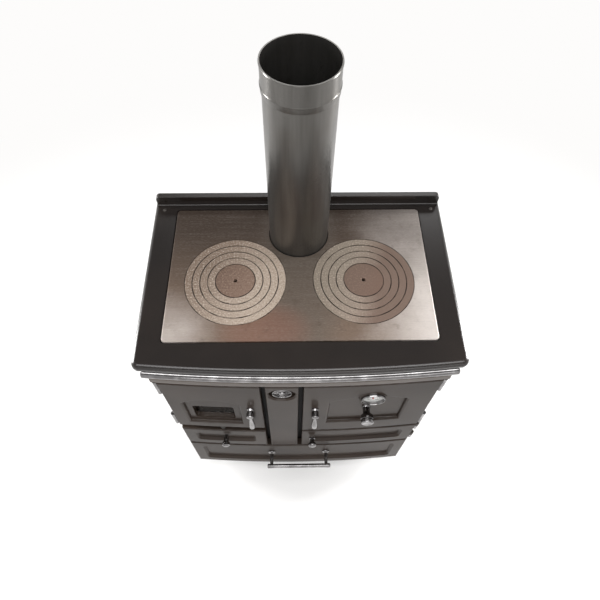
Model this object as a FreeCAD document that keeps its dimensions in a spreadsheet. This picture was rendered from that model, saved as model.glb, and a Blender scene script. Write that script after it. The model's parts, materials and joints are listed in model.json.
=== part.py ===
import FreeCAD, Part
import math
import os
import re
import Sketcher

# A solid fuel cast iron range cooker, in millimetres. X runs to the right along the hob, Y runs
# from the front to the back and Z runs up. The origin lies on the floor, midway between the front
# of the drawer handle and the back of the hob. The whole front follows one shallow bow, so a place
# on it is given by how far it is set back from the bow's foremost line.

sizes = {
    # the height of the hob and the bow of the front
    "hob_height": 900,
    "bow_radius": 4000,
    "handle_reach": 44,
    # the hob surround
    "deck_beside_plate": 63,
    "deck_behind_plate": 32,
    "surround_thickness": 28,
    "surround_rim": 14,
    "deck_thickness": 10,
    "bullnose": 12,
    "surround_corner": 18,
    "ledge_width": 12,
    "screw_inset": 26.5,
    "screw_from_upstand": 15.5,
    "screw_radius": 4.5,
    "screw_rise": 2,
    # the upstand behind the hob
    "upstand_height": 32,
    "upstand_thickness": 14,
    "upstand_bead": 3,
    # the hotplate and its two nests of rings
    "plate_border": 38.6,
    "plate_thickness": 12,
    "plate_setback": 80,
    "plate_corner": 9,
    "plate_gap": 3,
    "plate_proud": 2,
    "plate_chamfer": 1.5,
    "plate_rib": 9,
    "nest_gap": 66.8,
    "nest_from_front": 42.3,
    "nest_from_collar": 1.557,
    "ring_radius": 125,
    "ring_band": 19,
    "ring_gap": 0.8,
    "ring_seat": 6,
    "lifter_radius": 4.5,
    # the flue
    "flue_radius": 75,
    "flue_from_rear": 80.5,
    "flue_wall": 2,
    "flue_length": 500,
    "flue_socket": 60,
    "flue_clearance": 2.2,
    "collar_wall": 4,
    "collar_flange": 14,
    # the body
    "body_overhang": 28,
    "panel_thickness": 5,
    "panel_border": 45,
    "panel_relief": 1.5,
    "back_inset": 10,
    "plinth_height": 100,
    "plinth_inset": 40,
    "plinth_wall": 8,
    "plinth_rise": 12,
    "foot_radius": 22,
    "foot_pad": 8,
    "foot_stem": 7,
    "foot_gap": 4,
    # the front plate
    "frame_thickness": 14,
    "seal_space": 2,
    "header_height": 26,
    "header_setback": 2,
    "header_round": 9,
    "header_below_hob": 62,
    "opening_margin": 22,
    "opening_corner": 8,
    "facia_thickness": 6,
    "pillar_left": 87,
    "pillar_width": 82,
    "pillar_setback": 1,
    # the rail under the edge of the hob
    "rail_radius": 12,
    "rail_setback": 7,
    "rail_below_hob": 45,
    "rail_overhang": 16,
    "rail_post": 6,
    "rail_post_spacing": 320,
    # the doors and drawer fronts
    "door_setback": 1,
    "door_thickness": 24,
    "door_edge": 12,
    "door_gap": 12,
    "door_round": 4,
    "door_below_header": 4,
    "row_gap": 10,
    "recess_depth": 9,
    "recess_border": 33,
    "latch_border": 55,
    "oven_border": 62,
    "recess_below_door": 91,
    "oven_recess_below_door": 72,
    "arch_rise": 31,
    "bevel": 8,
    "firebox_door_row": 310,
    "oven_door_row": 330,
    "ash_front_row": 136,
    "warming_door_row": 140,
    "drawer_front_row": 206,
    "drawer_front_above_plinth": 12,
    "seal_width": 10,
    # the window in the firebox door
    "window_border": 16,
    "window_below_crown": 67,
    "glass_thickness": 4,
    "glass_lap": 7,
    "clip_height": 14,
    "clip_thickness": 2,
    # hinges
    "barrel_radius": 6,
    "pin_radius": 3,
    "pin_clearance": 0.06,
    "hinge_setback": 9,
    "hinge_height": 36,
    "small_hinge_height": 22,
    "hinge_leaf": 1.5,
    "hinge_side_gap": 0.5,
    "hinge_end_gap": 4,
    # latches, knobs and the air wheel
    "boss_radius": 9.5,
    "boss_reach": 26,
    "latch_inset": 32,
    "latch_below_door": 152,
    "lever_radius": 6.5,
    "lever_length": 92,
    "spindle_radius": 5,
    "spindle_clearance": 0.06,
    "cam_length": 18,
    "wheel_radius": 26,
    "wheel_reach": 9,
    "wheel_recess": 33,
    "wheel_recess_depth": 12,
    "wheel_below_hob": 143,
    "knob_radius": 16.5,
    "knob_reach": 49,
    "knob_below_hob": 260,
    "small_knob_radius": 12,
    "small_knob_reach": 28,
    "thermometer_radius": 31,
    "thermometer_offset": 8,
    "thermometer_below_hob": 180,
    "thermometer_reach": 7,
    "thermometer_seat": 5,
    "thermometer_plate": 8,
    "thermometer_wall": 3,
    "needle_hub": 1.5,
    "needle_reach": 2.5,
    # firebox, ovens and ash
    "box_wall": 4,
    "box_depth": 330,
    "firebox_depth": 340,
    "firebox_below_hob": 80,
    "grate_ledge": 18,
    "grate_thickness": 8,
    "grate_below_door": 28,
    "brick_thickness": 21,
    "brick_height": 210,
    "riddle_thickness": 7,
    "riddle_radius": 4,
    "riddle_travel": 20,
    "riddle_knob_radius": 8,
    "smoke_shelf_below_door": 8,
    "smoke_shelf_thickness": 6,
    "smoke_shelf_depth": 210,
    "grate_slot": 9,
    "grate_pitch": 22,
    "shelf_thickness": 6,
    "shelf_slot": 14,
    "shelf_pitch": 24,
    "runner_size": 8,
    "upper_shelf_height": 190,
    "lower_shelf_height": 90,
    "liner_thickness": 8,
    "tray_wall": 2,
    "ash_pan_height": 66,
    "drawer_depth": 330,
    "drawer_headroom": 48,
    "drawer_clearance": 3,
    "runner_web": 3,
    "runner_rise": 18,
    "handle_radius": 7,
    "handle_half_length": 90,
    "running_gap": 0.3,
}

# Values worked out from the driving sizes, written with their names.
places = {
    "ring_offset": "ring_radius + nest_gap / 2",
    "nest_to_flue": "ring_radius + flue_radius + collar_flange + nest_from_collar",
    "flue_behind_rings": "sqrt(nest_to_flue ^ 2 - ring_offset ^ 2)",
    "plate_half": "ring_offset + ring_radius + plate_border",
    "plate_depth": "nest_from_front + ring_radius + flue_behind_rings + flue_from_rear",
    "hob_half": "plate_half + deck_beside_plate",
    "hob_depth": "plate_setback + plate_depth + deck_behind_plate",
    "rear": "(hob_depth + handle_reach) / 2",
    "bow_front": "rear - hob_depth",
    "bow_centre": "bow_front + bow_radius",
    "body_half": "hob_half - body_overhang",
    "deck_top": "hob_height - plate_proud",
    "deck_under": "deck_top - deck_thickness",
    "rim_under": "deck_top - surround_thickness",
    "upstand_front": "rear - upstand_thickness",
    "plate_front": "bow_front + plate_setback",
    "plate_rear": "plate_front + plate_depth",
    "plate_under": "hob_height - plate_thickness",
    "ring_place": "plate_front + nest_from_front + ring_radius",
    "flue_place": "plate_rear - flue_from_rear",
    "frame_front": "door_setback + door_thickness + seal_space",
    "frame_back": "frame_front + frame_thickness",
    "header_top": "hob_height - header_below_hob",
    "header_under": "header_top - header_height",
    "back_inner": "rear - back_inset - panel_thickness",
    "door_half": "body_half - door_edge",
    "door_back": "door_setback + door_thickness",
    "door_top": "header_under - door_below_header",
    "pillar_right": "pillar_width - pillar_left",
    "left_inner": "- pillar_left - door_gap",
    "right_inner": "pillar_right + door_gap",
    "drawer_front_foot": "plinth_height + drawer_front_above_plinth",
    "rows": "oven_door_row + warming_door_row + drawer_front_row",
    "row_share": "(door_top - drawer_front_foot - 2 * row_gap) / rows",
    "firebox_door_foot": "door_top - firebox_door_row * row_share",
    "oven_door_foot": "door_top - oven_door_row * row_share",
    "warming_door_top": "oven_door_foot - row_gap",
    "warming_door_foot": "warming_door_top - warming_door_row * row_share",
    "ash_front_top": "warming_door_foot + ash_front_row * row_share",
    "drawer_front_top": "warming_door_foot - row_gap",
    "drawer_foot": "plinth_height + runner_rise + running_gap",
    "hinge_axis": "door_half + barrel_radius + hinge_side_gap",
    "box_back": "bow_front + frame_back + box_depth",
    "firebox_back": "bow_front + frame_back + firebox_depth",
    "firebox_top": "hob_height - firebox_below_hob",
    "firebox_left": "- door_half + opening_margin - brick_thickness - box_wall",
    "firebox_right": "left_inner - opening_margin + brick_thickness + box_wall",
    "grate_under": "firebox_door_foot - grate_below_door",
    "grate_top": "grate_under + grate_thickness",
    "riddle_axis": "grate_top + running_gap + riddle_radius",
    "riddle_across": "(left_inner - door_half) / 2",
    "riddle_front": "bow_front + frame_back + riddle_travel * 2",
    "shelf_under": "door_top - smoke_shelf_below_door",
    "latch_height": "door_top - latch_below_door",
    "wheel_across": "(pillar_right - pillar_left) / 2",
    "wheel_height": "hob_height - wheel_below_hob",
    "thermometer_height": "hob_height - thermometer_below_hob",
    "knob_across": "(door_half + right_inner) / 2",
    "thermometer_across": "knob_across + thermometer_offset",
    "knob_height": "hob_height - knob_below_hob",
    "rail_height": "hob_height - rail_below_hob",
    "rail_half": "hob_half - rail_overhang",
}

document = FreeCAD.newDocument("RangeCooker")
sheet = document.addObject("Spreadsheet::Sheet", "Sizes")
for row, (name, size) in enumerate(sizes.items(), start=1):
    sheet.set(f"A{row}", name)
    sheet.set(f"B{row}", str(size))
    sheet.setAlias(f"B{row}", name)
document.recompute()

nodes = []


# ---- expressions ----

def formula(text):
    """The expression for a size, with worked out places spelled out and sizes read from the sheet."""
    def spell(match):
        word = match.group()
        if word in places:
            return f"({formula(places[word])})"
        return f"Sizes.{word}" if word in sizes else word
    return re.sub(r"[a-z_]+", spell, str(text))


def value(text):
    """The number that an expression stands for now."""
    return float(sheet.evalExpression(formula(text)))


def bind(item, **properties):
    """Ties properties of an object to expressions; double underscores stand for dots."""
    for name, text in properties.items():
        item.setExpression(name.replace("__", "."), formula(text))


def bow(setback, across="0"):
    """Y of the bowed front at a distance across it, set back from its foremost line."""
    return f"(bow_centre - sqrt((bow_radius - ({setback}))^2 - ({across})^2))"


def place(item, x="0", y="0", z="0"):
    bind(item, Placement__Base__x=x, Placement__Base__y=y, Placement__Base__z=z)
    return item


# ---- sketches and bodies ----

def new_body(label):
    body = document.addObject("PartDesign::Body", label)
    body.Label = label
    return body


def new_sketch(body, role, offset="0"):
    """A sketch on one of the body's own planes. An offset on XZ_Plane runs towards the front."""
    sketch = body.newObject("Sketcher::SketchObject", body.Name + "_sketch")
    plane = next(item for item in body.Origin.OriginFeatures if item.Role == role)
    sketch.AttachmentSupport = [(plane, "")]
    sketch.MapMode = "FlatFace"
    bind(sketch, AttachmentOffset__Base__z=offset)
    return sketch


def arc_between(start, end, radius, side):
    """The smaller arc between two points, with its centre to the left or right of the way along."""
    chord = end - start
    middle = (start + end) / 2
    rise = math.sqrt(max(radius ** 2 - chord.Length ** 2 / 4, 0))
    left = FreeCAD.Vector(-chord.y, chord.x, 0).normalize()
    centre = middle + left * (rise if side == "left" else -rise)
    first, last = (start, end) if side == "left" else (end, start)
    first_angle = math.atan2(first.y - centre.y, first.x - centre.x)
    last_angle = math.atan2(last.y - centre.y, last.x - centre.x)
    circle = Part.Circle(centre, FreeCAD.Vector(0, 0, 1), radius)
    return Part.ArcOfCircle(circle, first_angle, last_angle)


def constrain(sketch, constraint, text):
    index = sketch.addConstraint(constraint)
    sketch.setExpression(f"Constraints[{index}]", formula(text))


def outline(sketch, corners):
    """A closed outline. A corner is x, y and, where an arc leaves it, a radius and its centre's side."""
    spots = [FreeCAD.Vector(value(corner[0]), value(corner[1]), 0) for corner in corners]
    vertices = []
    for index, corner in enumerate(corners):
        start = spots[index]
        end = spots[(index + 1) % len(spots)]
        if len(corner) == 2:
            edge = sketch.addGeometry(Part.LineSegment(start, end))
            vertices.append((edge, 1, 2))
            continue
        radius = value(corner[2])
        edge = sketch.addGeometry(arc_between(start, end, radius, corner[3]))
        vertices.append((edge, 1, 2) if corner[3] == "left" else (edge, 2, 1))
    for index, corner in enumerate(corners):
        edge, first, last = vertices[index]
        following, following_first, _ = vertices[(index + 1) % len(corners)]
        sketch.addConstraint(Sketcher.Constraint("Coincident", edge, last, following, following_first))
        across = Sketcher.Constraint("DistanceX", -1, 1, edge, first, spots[index].x)
        constrain(sketch, across, corner[0])
        along = Sketcher.Constraint("DistanceY", -1, 1, edge, first, spots[index].y)
        constrain(sketch, along, corner[1])
        if len(corner) > 2:
            constrain(sketch, Sketcher.Constraint("Radius", edge, value(corner[2])), corner[2])


def rounded(sketch, left, right, low, high, radius):
    """A rectangle with rounded corners."""
    outline(sketch, [
        (f"{left} + {radius}", low),
        (f"{right} - {radius}", low, radius, "left"),
        (right, f"{low} + {radius}"),
        (right, f"{high} - {radius}", radius, "left"),
        (f"{right} - {radius}", high),
        (f"{left} + {radius}", high, radius, "left"),
        (left, f"{high} - {radius}"),
        (left, f"{low} + {radius}", radius, "left"),
    ])


def rectangle(sketch, left, right, low, high):
    outline(sketch, [(left, low), (right, low), (right, high), (left, high)])


def circle(sketch, across, along, radius):
    spot = FreeCAD.Vector(value(across), value(along), 0)
    edge = sketch.addGeometry(Part.Circle(spot, FreeCAD.Vector(0, 0, 1), value(radius)))
    constrain(sketch, Sketcher.Constraint("DistanceX", -1, 1, edge, 3, spot.x), across)
    constrain(sketch, Sketcher.Constraint("DistanceY", -1, 1, edge, 3, spot.y), along)
    constrain(sketch, Sketcher.Constraint("Radius", edge, value(radius)), radius)


def bowed_outline(sketch, left, right, near, far):
    """The plan of a piece of the front, between two lines that follow the bow."""
    outline(sketch, [
        (left, bow(near, left), f"bow_radius - ({near})", "left"),
        (right, bow(near, right)),
        (right, bow(far, right), f"bow_radius - ({far})", "right"),
        (left, bow(far, left)),
    ])


def pad(body, sketch, length, backward=False):
    feature = body.newObject("PartDesign::Pad", body.Name + "_pad")
    feature.Profile = sketch
    feature.Reversed = backward
    bind(feature, Length=length)
    return feature


def pocket(body, sketch, depth=None, backward=False):
    """A cut as deep as asked, or right through."""
    feature = body.newObject("PartDesign::Pocket", body.Name + "_pocket")
    feature.Profile = sketch
    feature.Reversed = backward
    if depth is None:
        feature.Type = "ThroughAll"
    else:
        bind(feature, Length=depth)
    return feature


def dress(body, kind, base, size, chosen):
    """A fillet or chamfer on the edges that the test picks."""
    document.recompute()
    picked = [f"Edge{index}" for index, edge in enumerate(base.Shape.Edges, start=1) if chosen(edge)]
    feature = body.newObject(f"PartDesign::{kind}", f"{body.Name}_{kind.lower()}")
    feature.Base = (base, picked)
    bind(feature, **{"Radius" if kind == "Fillet" else "Size": size})
    return feature


def turned(label, where, axis, profile):
    """A turned body. Profile points are (along the axis, radius); the axis runs up or forward."""
    body = new_body(label)
    if axis == "up":
        sketch = new_sketch(body, "XZ_Plane")
        outline(sketch, [(radius, along) for along, radius in profile])
    else:
        sketch = new_sketch(body, "YZ_Plane")
        outline(sketch, [(f"-({along})", radius) for along, radius in profile])
    feature = body.newObject("PartDesign::Revolution", body.Name + "_revolution")
    feature.Profile = sketch
    feature.ReferenceAxis = (sketch, ["V_Axis" if axis == "up" else "H_Axis"])
    feature.Angle = 360
    place(body, *where)
    return body


# ---- primitives ----

def box(label, left, right, front, back, low, high):
    item = document.addObject("Part::Box", label)
    bind(item, Length=f"({right}) - ({left})", Width=f"({back}) - ({front})", Height=f"({high}) - ({low})")
    return place(item, left, front, low)


def rod(label, where, radius, length, axis):
    """A cylinder that runs up, to the right or towards the front from where it starts."""
    item = document.addObject("Part::Cylinder", label)
    bind(item, Radius=radius, Height=length)
    turns = {"up": (0, 0, 1, 0), "right": (0, 1, 0, 90), "forward": (1, 0, 0, 90)}
    x, y, z, degrees = turns[axis]
    item.Placement.Rotation = FreeCAD.Rotation(FreeCAD.Vector(x, y, z), degrees)
    return place(item, *where)


def cut(label, base, *tools):
    tool = tools[0] if len(tools) == 1 else fuse(label + "_tools", *tools)
    item = document.addObject("Part::Cut", label)
    item.Base = base
    item.Tool = tool
    return item


def fuse(label, *items):
    item = document.addObject("Part::MultiFuse", label)
    item.Shapes = list(items)
    item.Refine = True
    return item


def group(label, *items):
    item = document.addObject("Part::Compound", label)
    item.Links = list(items)
    return item


def node(label, item):
    """Names a finished piece, which is written to a file of that name."""
    item.Label = label
    nodes.append(item)
    return item


# ---- pieces of the bowed front ----

def layer(label, left, right, low, high, near, far):
    """A slab of the front between two setbacks."""
    body = new_body(label)
    sketch = new_sketch(body, "XY_Plane", low)
    bowed_outline(sketch, left, right, near, far)
    pad(body, sketch, f"({high}) - ({low})")
    return body


def softened(label, left, right, low, high, near, far, radius):
    """A slab of the front whose face has its edges rounded over."""
    body = layer(label, left, right, low, high, near, far)

    def on_face(edge):
        spots = [edge.valueAt(edge.FirstParameter), edge.valueAt(edge.LastParameter)]
        reach = [value("bow_radius") - math.hypot(spot.x, spot.y - value("bow_centre")) for spot in spots]
        return max(reach) < value(near) + 0.01

    dress(body, "Fillet", body.Tip, radius, on_face)
    return body


def front_cut(body, draw):
    """A cut from before the front towards the back, right through the body."""
    sketch = new_sketch(body, "XZ_Plane", "-(bow_front - handle_reach)")
    draw(sketch)
    return pocket(body, sketch)


def bored(body, across, height, radius="spindle_radius + spindle_clearance"):
    """A round hole right through a piece of the front, for a spindle unless a radius is given."""
    front_cut(body, lambda sketch: circle(sketch, across, height, radius))


def inside_edges(left, right, foot, top, near):
    """A test for edges on the face, away from its outer border."""
    border = value("recess_border") / 2

    def test(edge):
        middle = edge.valueAt((edge.FirstParameter + edge.LastParameter) / 2)
        reach = value("bow_radius") - math.hypot(middle.x, middle.y - value("bow_centre"))
        across = value(left) + border < middle.x < value(right) - border
        along = value(foot) + border < middle.z < value(top) - border
        return across and along and reach < value(near) + 0.1
    return test


def arch_outline(sketch, left, right, low, spring):
    """A panel's outline, with a low arch for its head."""
    half = f"(({right}) - ({left})) / 2"
    radius = f"(({half})^2 + arch_rise^2) / (2 * arch_rise)"
    outline(sketch, [(left, low), (right, low), (right, spring, radius, "left"), (left, spring)])


def arched_door(label, left, right, foot, top, borders, below_door):
    """A door casting with rounded edges and an arch-headed recess, whose border rolls over into it."""
    floor = "door_setback + recess_depth"
    body = softened(label, left, right, foot, top, "door_setback", floor, "door_round")
    border_left, border_right = borders
    inner_left = f"({left}) + {border_left} + bevel"
    inner_right = f"({right}) - {border_right} - bevel"
    low = f"({foot}) + {border_left} + bevel"
    spring = f"({top}) - {below_door} - arch_rise - bevel"
    recess = front_cut(body, lambda sketch: arch_outline(sketch, inner_left, inner_right, low, spring))
    dress(body, "Fillet", recess, "bevel", inside_edges(left, right, foot, top, "door_setback"))
    slab = new_sketch(body, "XY_Plane", foot)
    bowed_outline(slab, left, right, floor, "door_back")
    pad(body, slab, f"({top}) - ({foot})")
    return body


def open_box(label, left, right, back, low, high, wall):
    """A steel box behind the front plate, open at the front, whose rim follows the bow."""
    body = new_body(label)
    sketch = new_sketch(body, "XY_Plane", low)
    near = "frame_back + running_gap"
    outline(sketch, [
        (left, bow(near, left), f"bow_radius - ({near})", "left"),
        (right, bow(near, right)),
        (right, back),
        (left, back),
    ])
    pad(body, sketch, f"({high}) - ({low})")
    inside = new_sketch(body, "XZ_Plane", f"-(({back}) - {wall})")
    rounded(inside, f"({left}) + {wall}", f"({right}) - {wall}", f"({low}) + {wall}", f"({high}) - {wall}",
            "opening_corner")
    pocket(body, inside, backward=True)
    return body


# ---- the base and the panels ----

def make_base():
    body = new_body("base_frame")
    front = "bow_front + frame_back + plinth_inset"
    back = "back_inner - plinth_inset / 2"
    skirt = new_sketch(body, "XY_Plane", "plinth_rise")
    rounded(skirt, "- body_half + plinth_inset", "body_half - plinth_inset", front, back, "surround_corner")
    pad(body, skirt, "plinth_height - plinth_rise")
    hollow = new_sketch(body, "XY_Plane", "plinth_rise")
    rounded(hollow, "- body_half + plinth_inset + plinth_wall", "body_half - plinth_inset - plinth_wall",
            f"{front} + plinth_wall", f"{back} - plinth_wall", "(surround_corner - plinth_wall)")
    pocket(body, hollow, "plinth_height - plinth_rise - plinth_wall", backward=True)
    deck = new_sketch(body, "XY_Plane", "plinth_height - plinth_wall")
    outline(deck, [
        ("- body_half", bow("frame_front", "body_half"), "bow_radius - frame_front", "left"),
        ("body_half", bow("frame_front", "body_half")),
        ("body_half", "back_inner + panel_thickness"),
        ("- body_half", "back_inner + panel_thickness"),
    ])
    pad(body, deck, "plinth_wall")
    node("base_frame", body)


def make_feet():
    feet = []
    reach = "plinth_inset + plinth_wall + foot_radius + foot_gap"
    for number, (side, end) in enumerate([(-1, "front"), (1, "front"), (-1, "back"), (1, "back")]):
        across = f"{side} * (body_half - ({reach}))"
        along = f"bow_front + frame_back + ({reach})" if end == "front" else f"back_inner - ({reach})"
        where = (across, along, "0")
        disc = rod(f"foot_disc_{number}", where, "foot_radius", "foot_pad", "up")
        stem = rod(f"foot_stem_{number}", where, "foot_stem", "plinth_height - plinth_wall", "up")
        feet.append(fuse(f"foot_{number}", disc, stem))
    node("levelling_feet", group("feet", *feet))


def make_side(label, side):
    """A side panel with a shallow field sunk into its outer face."""
    body = new_body(label)
    front = bow("frame_back", "body_half")
    outer = "- body_half" if side < 0 else "body_half - panel_thickness"
    sketch = new_sketch(body, "YZ_Plane", outer)
    rectangle(sketch, front, "back_inner", "plinth_height", "deck_under")
    pad(body, sketch, "panel_thickness")
    skin = "- body_half" if side < 0 else "body_half"
    field = new_sketch(body, "YZ_Plane", skin)
    rounded(field, f"{front} + panel_border", "back_inner - panel_border", "plinth_height + panel_border",
            "rim_under - panel_border", "surround_corner")
    pocket(body, field, "panel_relief", backward=side < 0)
    node(label, body)


def make_back():
    body = new_body("back_panel")
    sketch = new_sketch(body, "XZ_Plane", "-(back_inner + panel_thickness)")
    rectangle(sketch, "- body_half", "body_half", "plinth_height", "rim_under")
    pad(body, sketch, "panel_thickness")
    field = new_sketch(body, "XZ_Plane", "-(back_inner + panel_thickness)")
    rounded(field, "- body_half + panel_border", "body_half - panel_border", "plinth_height + panel_border",
            "rim_under - panel_border", "surround_corner")
    pocket(body, field, "panel_relief", backward=True)
    node("back_panel", body)


# ---- the front plate ----

openings = {
    "firebox": ("- door_half + opening_margin", "left_inner - opening_margin",
                "firebox_door_foot + opening_margin", "door_top - opening_margin"),
    "oven": ("right_inner + opening_margin", "door_half - opening_margin",
             "oven_door_foot + opening_margin", "door_top - opening_margin"),
    "warming": ("right_inner + opening_margin", "door_half - opening_margin",
                "warming_door_foot + opening_margin", "warming_door_top - opening_margin"),
    "ash": ("- door_half + opening_margin", "left_inner - opening_margin",
            "warming_door_foot + opening_margin", "ash_front_top - opening_margin"),
    "drawer": ("- door_half + opening_margin", "door_half - opening_margin",
               "plinth_height + opening_corner", "drawer_front_top - opening_margin"),
}


def make_head():
    """The head of the front, with the header's ledge before it and the facia above it."""
    body = layer("front_head", "- body_half", "body_half", "door_top - opening_margin", "header_top",
                 "frame_front", "frame_back")
    header = new_sketch(body, "XY_Plane", "header_under")
    bowed_outline(header, "- body_half", "body_half", "header_setback", "frame_front")
    feature = pad(body, header, "header_height")

    def leading(edge):
        middle = edge.valueAt((edge.FirstParameter + edge.LastParameter) / 2)
        reach = value("bow_radius") - math.hypot(middle.x, middle.y - value("bow_centre"))
        upper = abs(middle.z - value("header_top")) < 0.1
        return upper and reach < value("header_setback") + 0.1 and edge.Length > value("body_half")

    dress(body, "Fillet", feature, "header_round", leading)
    facia = new_sketch(body, "XY_Plane", "header_top")
    bowed_outline(facia, "- body_half", "body_half", "frame_back - facia_thickness", "frame_back")
    pad(body, facia, "deck_under - header_top")
    return body


def make_front_plate():
    """The cast bars of the front: its head, a foot, three stiles, and the rails between them."""
    left, inner_left, fire_low, head_under = openings["firebox"]
    inner_right, right, oven_low, _ = openings["oven"]
    warming_low, warming_high = openings["warming"][2:]
    ash_high = openings["ash"][3]
    drawer_low, drawer_high = openings["drawer"][2:]
    spans = {
        "foot": ("- body_half", "body_half", "plinth_height", drawer_low),
        "left_stile": ("- body_half", left, drawer_low, head_under),
        "right_stile": (right, "body_half", drawer_low, head_under),
        "drawer_rail": (left, right, drawer_high, warming_low),
        "centre_stile": (inner_left, inner_right, warming_low, head_under),
        "ash_rail": (left, inner_left, ash_high, fire_low),
        "warming_rail": (inner_right, right, warming_high, oven_low),
    }
    bars = {name: layer("front_" + name, *span, "frame_front", "frame_back") for name, span in spans.items()}
    bored(bars["centre_stile"], "wheel_across", "wheel_height")
    bored(bars["ash_rail"], "riddle_across", "riddle_axis", "riddle_radius + spindle_clearance")
    node("front_plate", group("front_bars", make_head(), *bars.values()))


def make_pillar():
    """The pillar between the doors, with a dished seat for the air wheel."""
    body = softened("centre_pillar", "- pillar_left", "pillar_right", "warming_door_foot", "door_top",
                    "pillar_setback", "frame_front", "door_round")
    seat = new_sketch(body, "XZ_Plane", "-(bow_front + pillar_setback + wheel_recess_depth)")
    circle(seat, "wheel_across", "wheel_height", "wheel_recess")
    dish = pocket(body, seat, "wheel_recess_depth * 2", backward=True)

    def rim(edge):
        middle = edge.valueAt((edge.FirstParameter + edge.LastParameter) / 2)
        away = math.hypot(middle.x - value("wheel_across"), middle.z - value("wheel_height"))
        return abs(away - value("wheel_recess")) < 0.2 and edge.Length > value("wheel_recess")

    document.recompute()
    rims = [edge for edge in dish.Shape.Edges if rim(edge)]
    front = min(edge.CenterOfMass.y for edge in rims)
    dress(body, "Chamfer", dish, "bevel / 2", lambda edge: rim(edge) and edge.CenterOfMass.y < front + 0.5)
    bored(body, "wheel_across", "wheel_height")
    node("centre_pillar", body)


# ---- the hob ----

def make_surround():
    """The cast frame of the hob: a bullnosed rim, a deck with the hotplate's well, and its ledge."""
    body = new_body("hob_surround")
    plan = new_sketch(body, "XY_Plane", "rim_under")
    corner = "surround_corner"
    meeting = f"(hob_half - {corner}) * bow_radius / (bow_radius - {corner})"
    side_start = bow(corner, f"hob_half - {corner}")
    outline(plan, [
        (f"-({meeting})", bow("0", meeting), "bow_radius", "left"),
        (meeting, bow("0", meeting), corner, "left"),
        ("hob_half", side_start),
        ("hob_half", "rear"),
        ("- hob_half", "rear"),
        ("- hob_half", side_start, corner, "left"),
    ])
    slab = pad(body, plan, "surround_thickness")

    def outer(edge):
        middle = edge.valueAt((edge.FirstParameter + edge.LastParameter) / 2)
        flat = abs(edge.BoundBox.ZLength) < 0.01
        return flat and middle.y < value("rear") - 1

    dress(body, "Fillet", slab, "bullnose", outer)
    well = new_sketch(body, "XY_Plane", "deck_top")
    rounded(well, "- plate_half - plate_gap", "plate_half + plate_gap", "plate_front - plate_gap",
            "plate_rear + plate_gap", "(plate_corner + plate_gap)")
    pocket(body, well, "plate_thickness - plate_proud")
    opening = new_sketch(body, "XY_Plane", "deck_top")
    rounded(opening, "- plate_half + ledge_width", "plate_half - ledge_width", "plate_front + ledge_width",
            "plate_rear - ledge_width", "plate_corner")
    pocket(body, opening)
    web = "plate_gap + deck_thickness"
    hollow = new_sketch(body, "XY_Plane", "rim_under")
    side = "hob_half - surround_rim"
    outline(hollow, [
        (f"-({side})", bow("surround_rim", side), "bow_radius - surround_rim", "left"),
        (side, bow("surround_rim", side)),
        (side, "back_inner"),
        (f"plate_half + {web}", "back_inner"),
        (f"plate_half + {web}", f"plate_front - ({web})"),
        (f"- plate_half - ({web})", f"plate_front - ({web})"),
        (f"- plate_half - ({web})", "back_inner"),
        (f"-({side})", "back_inner"),
    ])
    pocket(body, hollow, "deck_under - rim_under", backward=True)
    notch = new_sketch(body, "XY_Plane", "rim_under")
    circle(notch, "0", "flue_place", "flue_radius + flue_clearance + collar_wall")
    pocket(body, notch, "plate_under - rim_under", backward=True)
    holes = new_sketch(body, "XY_Plane", "deck_top")
    for side_sign in ("-", ""):
        circle(holes, f"{side_sign}(hob_half - screw_inset)", "upstand_front - screw_from_upstand",
               "screw_radius / 2 + spindle_clearance")
    pocket(body, holes)
    node("hob_surround", body)


def make_screws():
    screws = []
    for number, side in enumerate(("-", "")):
        where = (f"{side}(hob_half - screw_inset)", "upstand_front - screw_from_upstand", "deck_top")
        screws.append(turned(f"screw_{number}", where, "up", [
            ("- deck_thickness + screw_rise", "0"),
            ("- deck_thickness + screw_rise", "screw_radius / 2"),
            ("0", "screw_radius / 2"),
            ("0", "screw_radius"),
            ("screw_rise / 2", "screw_radius"),
            ("screw_rise", "screw_radius * 0.6"),
            ("screw_rise", "0"),
        ]))
    node("surround_screws", group("screws", *screws))


def make_upstand():
    """The rail along the back of the hob, with a bead at its foot and rounded upper ends."""
    body = new_body("rear_upstand")
    half = "hob_half - bullnose / 2"
    top = "hob_height + upstand_height"
    face = new_sketch(body, "XZ_Plane", "- rear")
    outline(face, [
        (f"-({half})", "deck_top"),
        (half, "deck_top"),
        (half, f"{top} - bullnose", "bullnose", "left"),
        (f"{half} - bullnose", top),
        (f"-({half}) + bullnose", top, "bullnose", "left"),
        (f"-({half})", f"{top} - bullnose"),
    ])
    rail = pad(body, face, "upstand_thickness")

    def upper_front(edge):
        spot = edge.CenterOfMass
        return abs(spot.y - value("upstand_front")) < 0.1 and spot.z > value("deck_top") + 1

    dress(body, "Fillet", rail, "upstand_bead / 2", upper_front)
    bead = new_sketch(body, "YZ_Plane", f"-({half})")
    outline(bead, [
        ("upstand_front - upstand_bead", "deck_top"),
        ("upstand_front + upstand_bead", "deck_top"),
        ("upstand_front + upstand_bead", "deck_top + upstand_bead * 2"),
        ("upstand_front", "deck_top + upstand_bead * 2", "upstand_bead", "right"),
        ("upstand_front - upstand_bead", "deck_top + upstand_bead"),
    ])
    pad(body, bead, f"2 * ({half})")
    node("rear_upstand", body)


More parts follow.
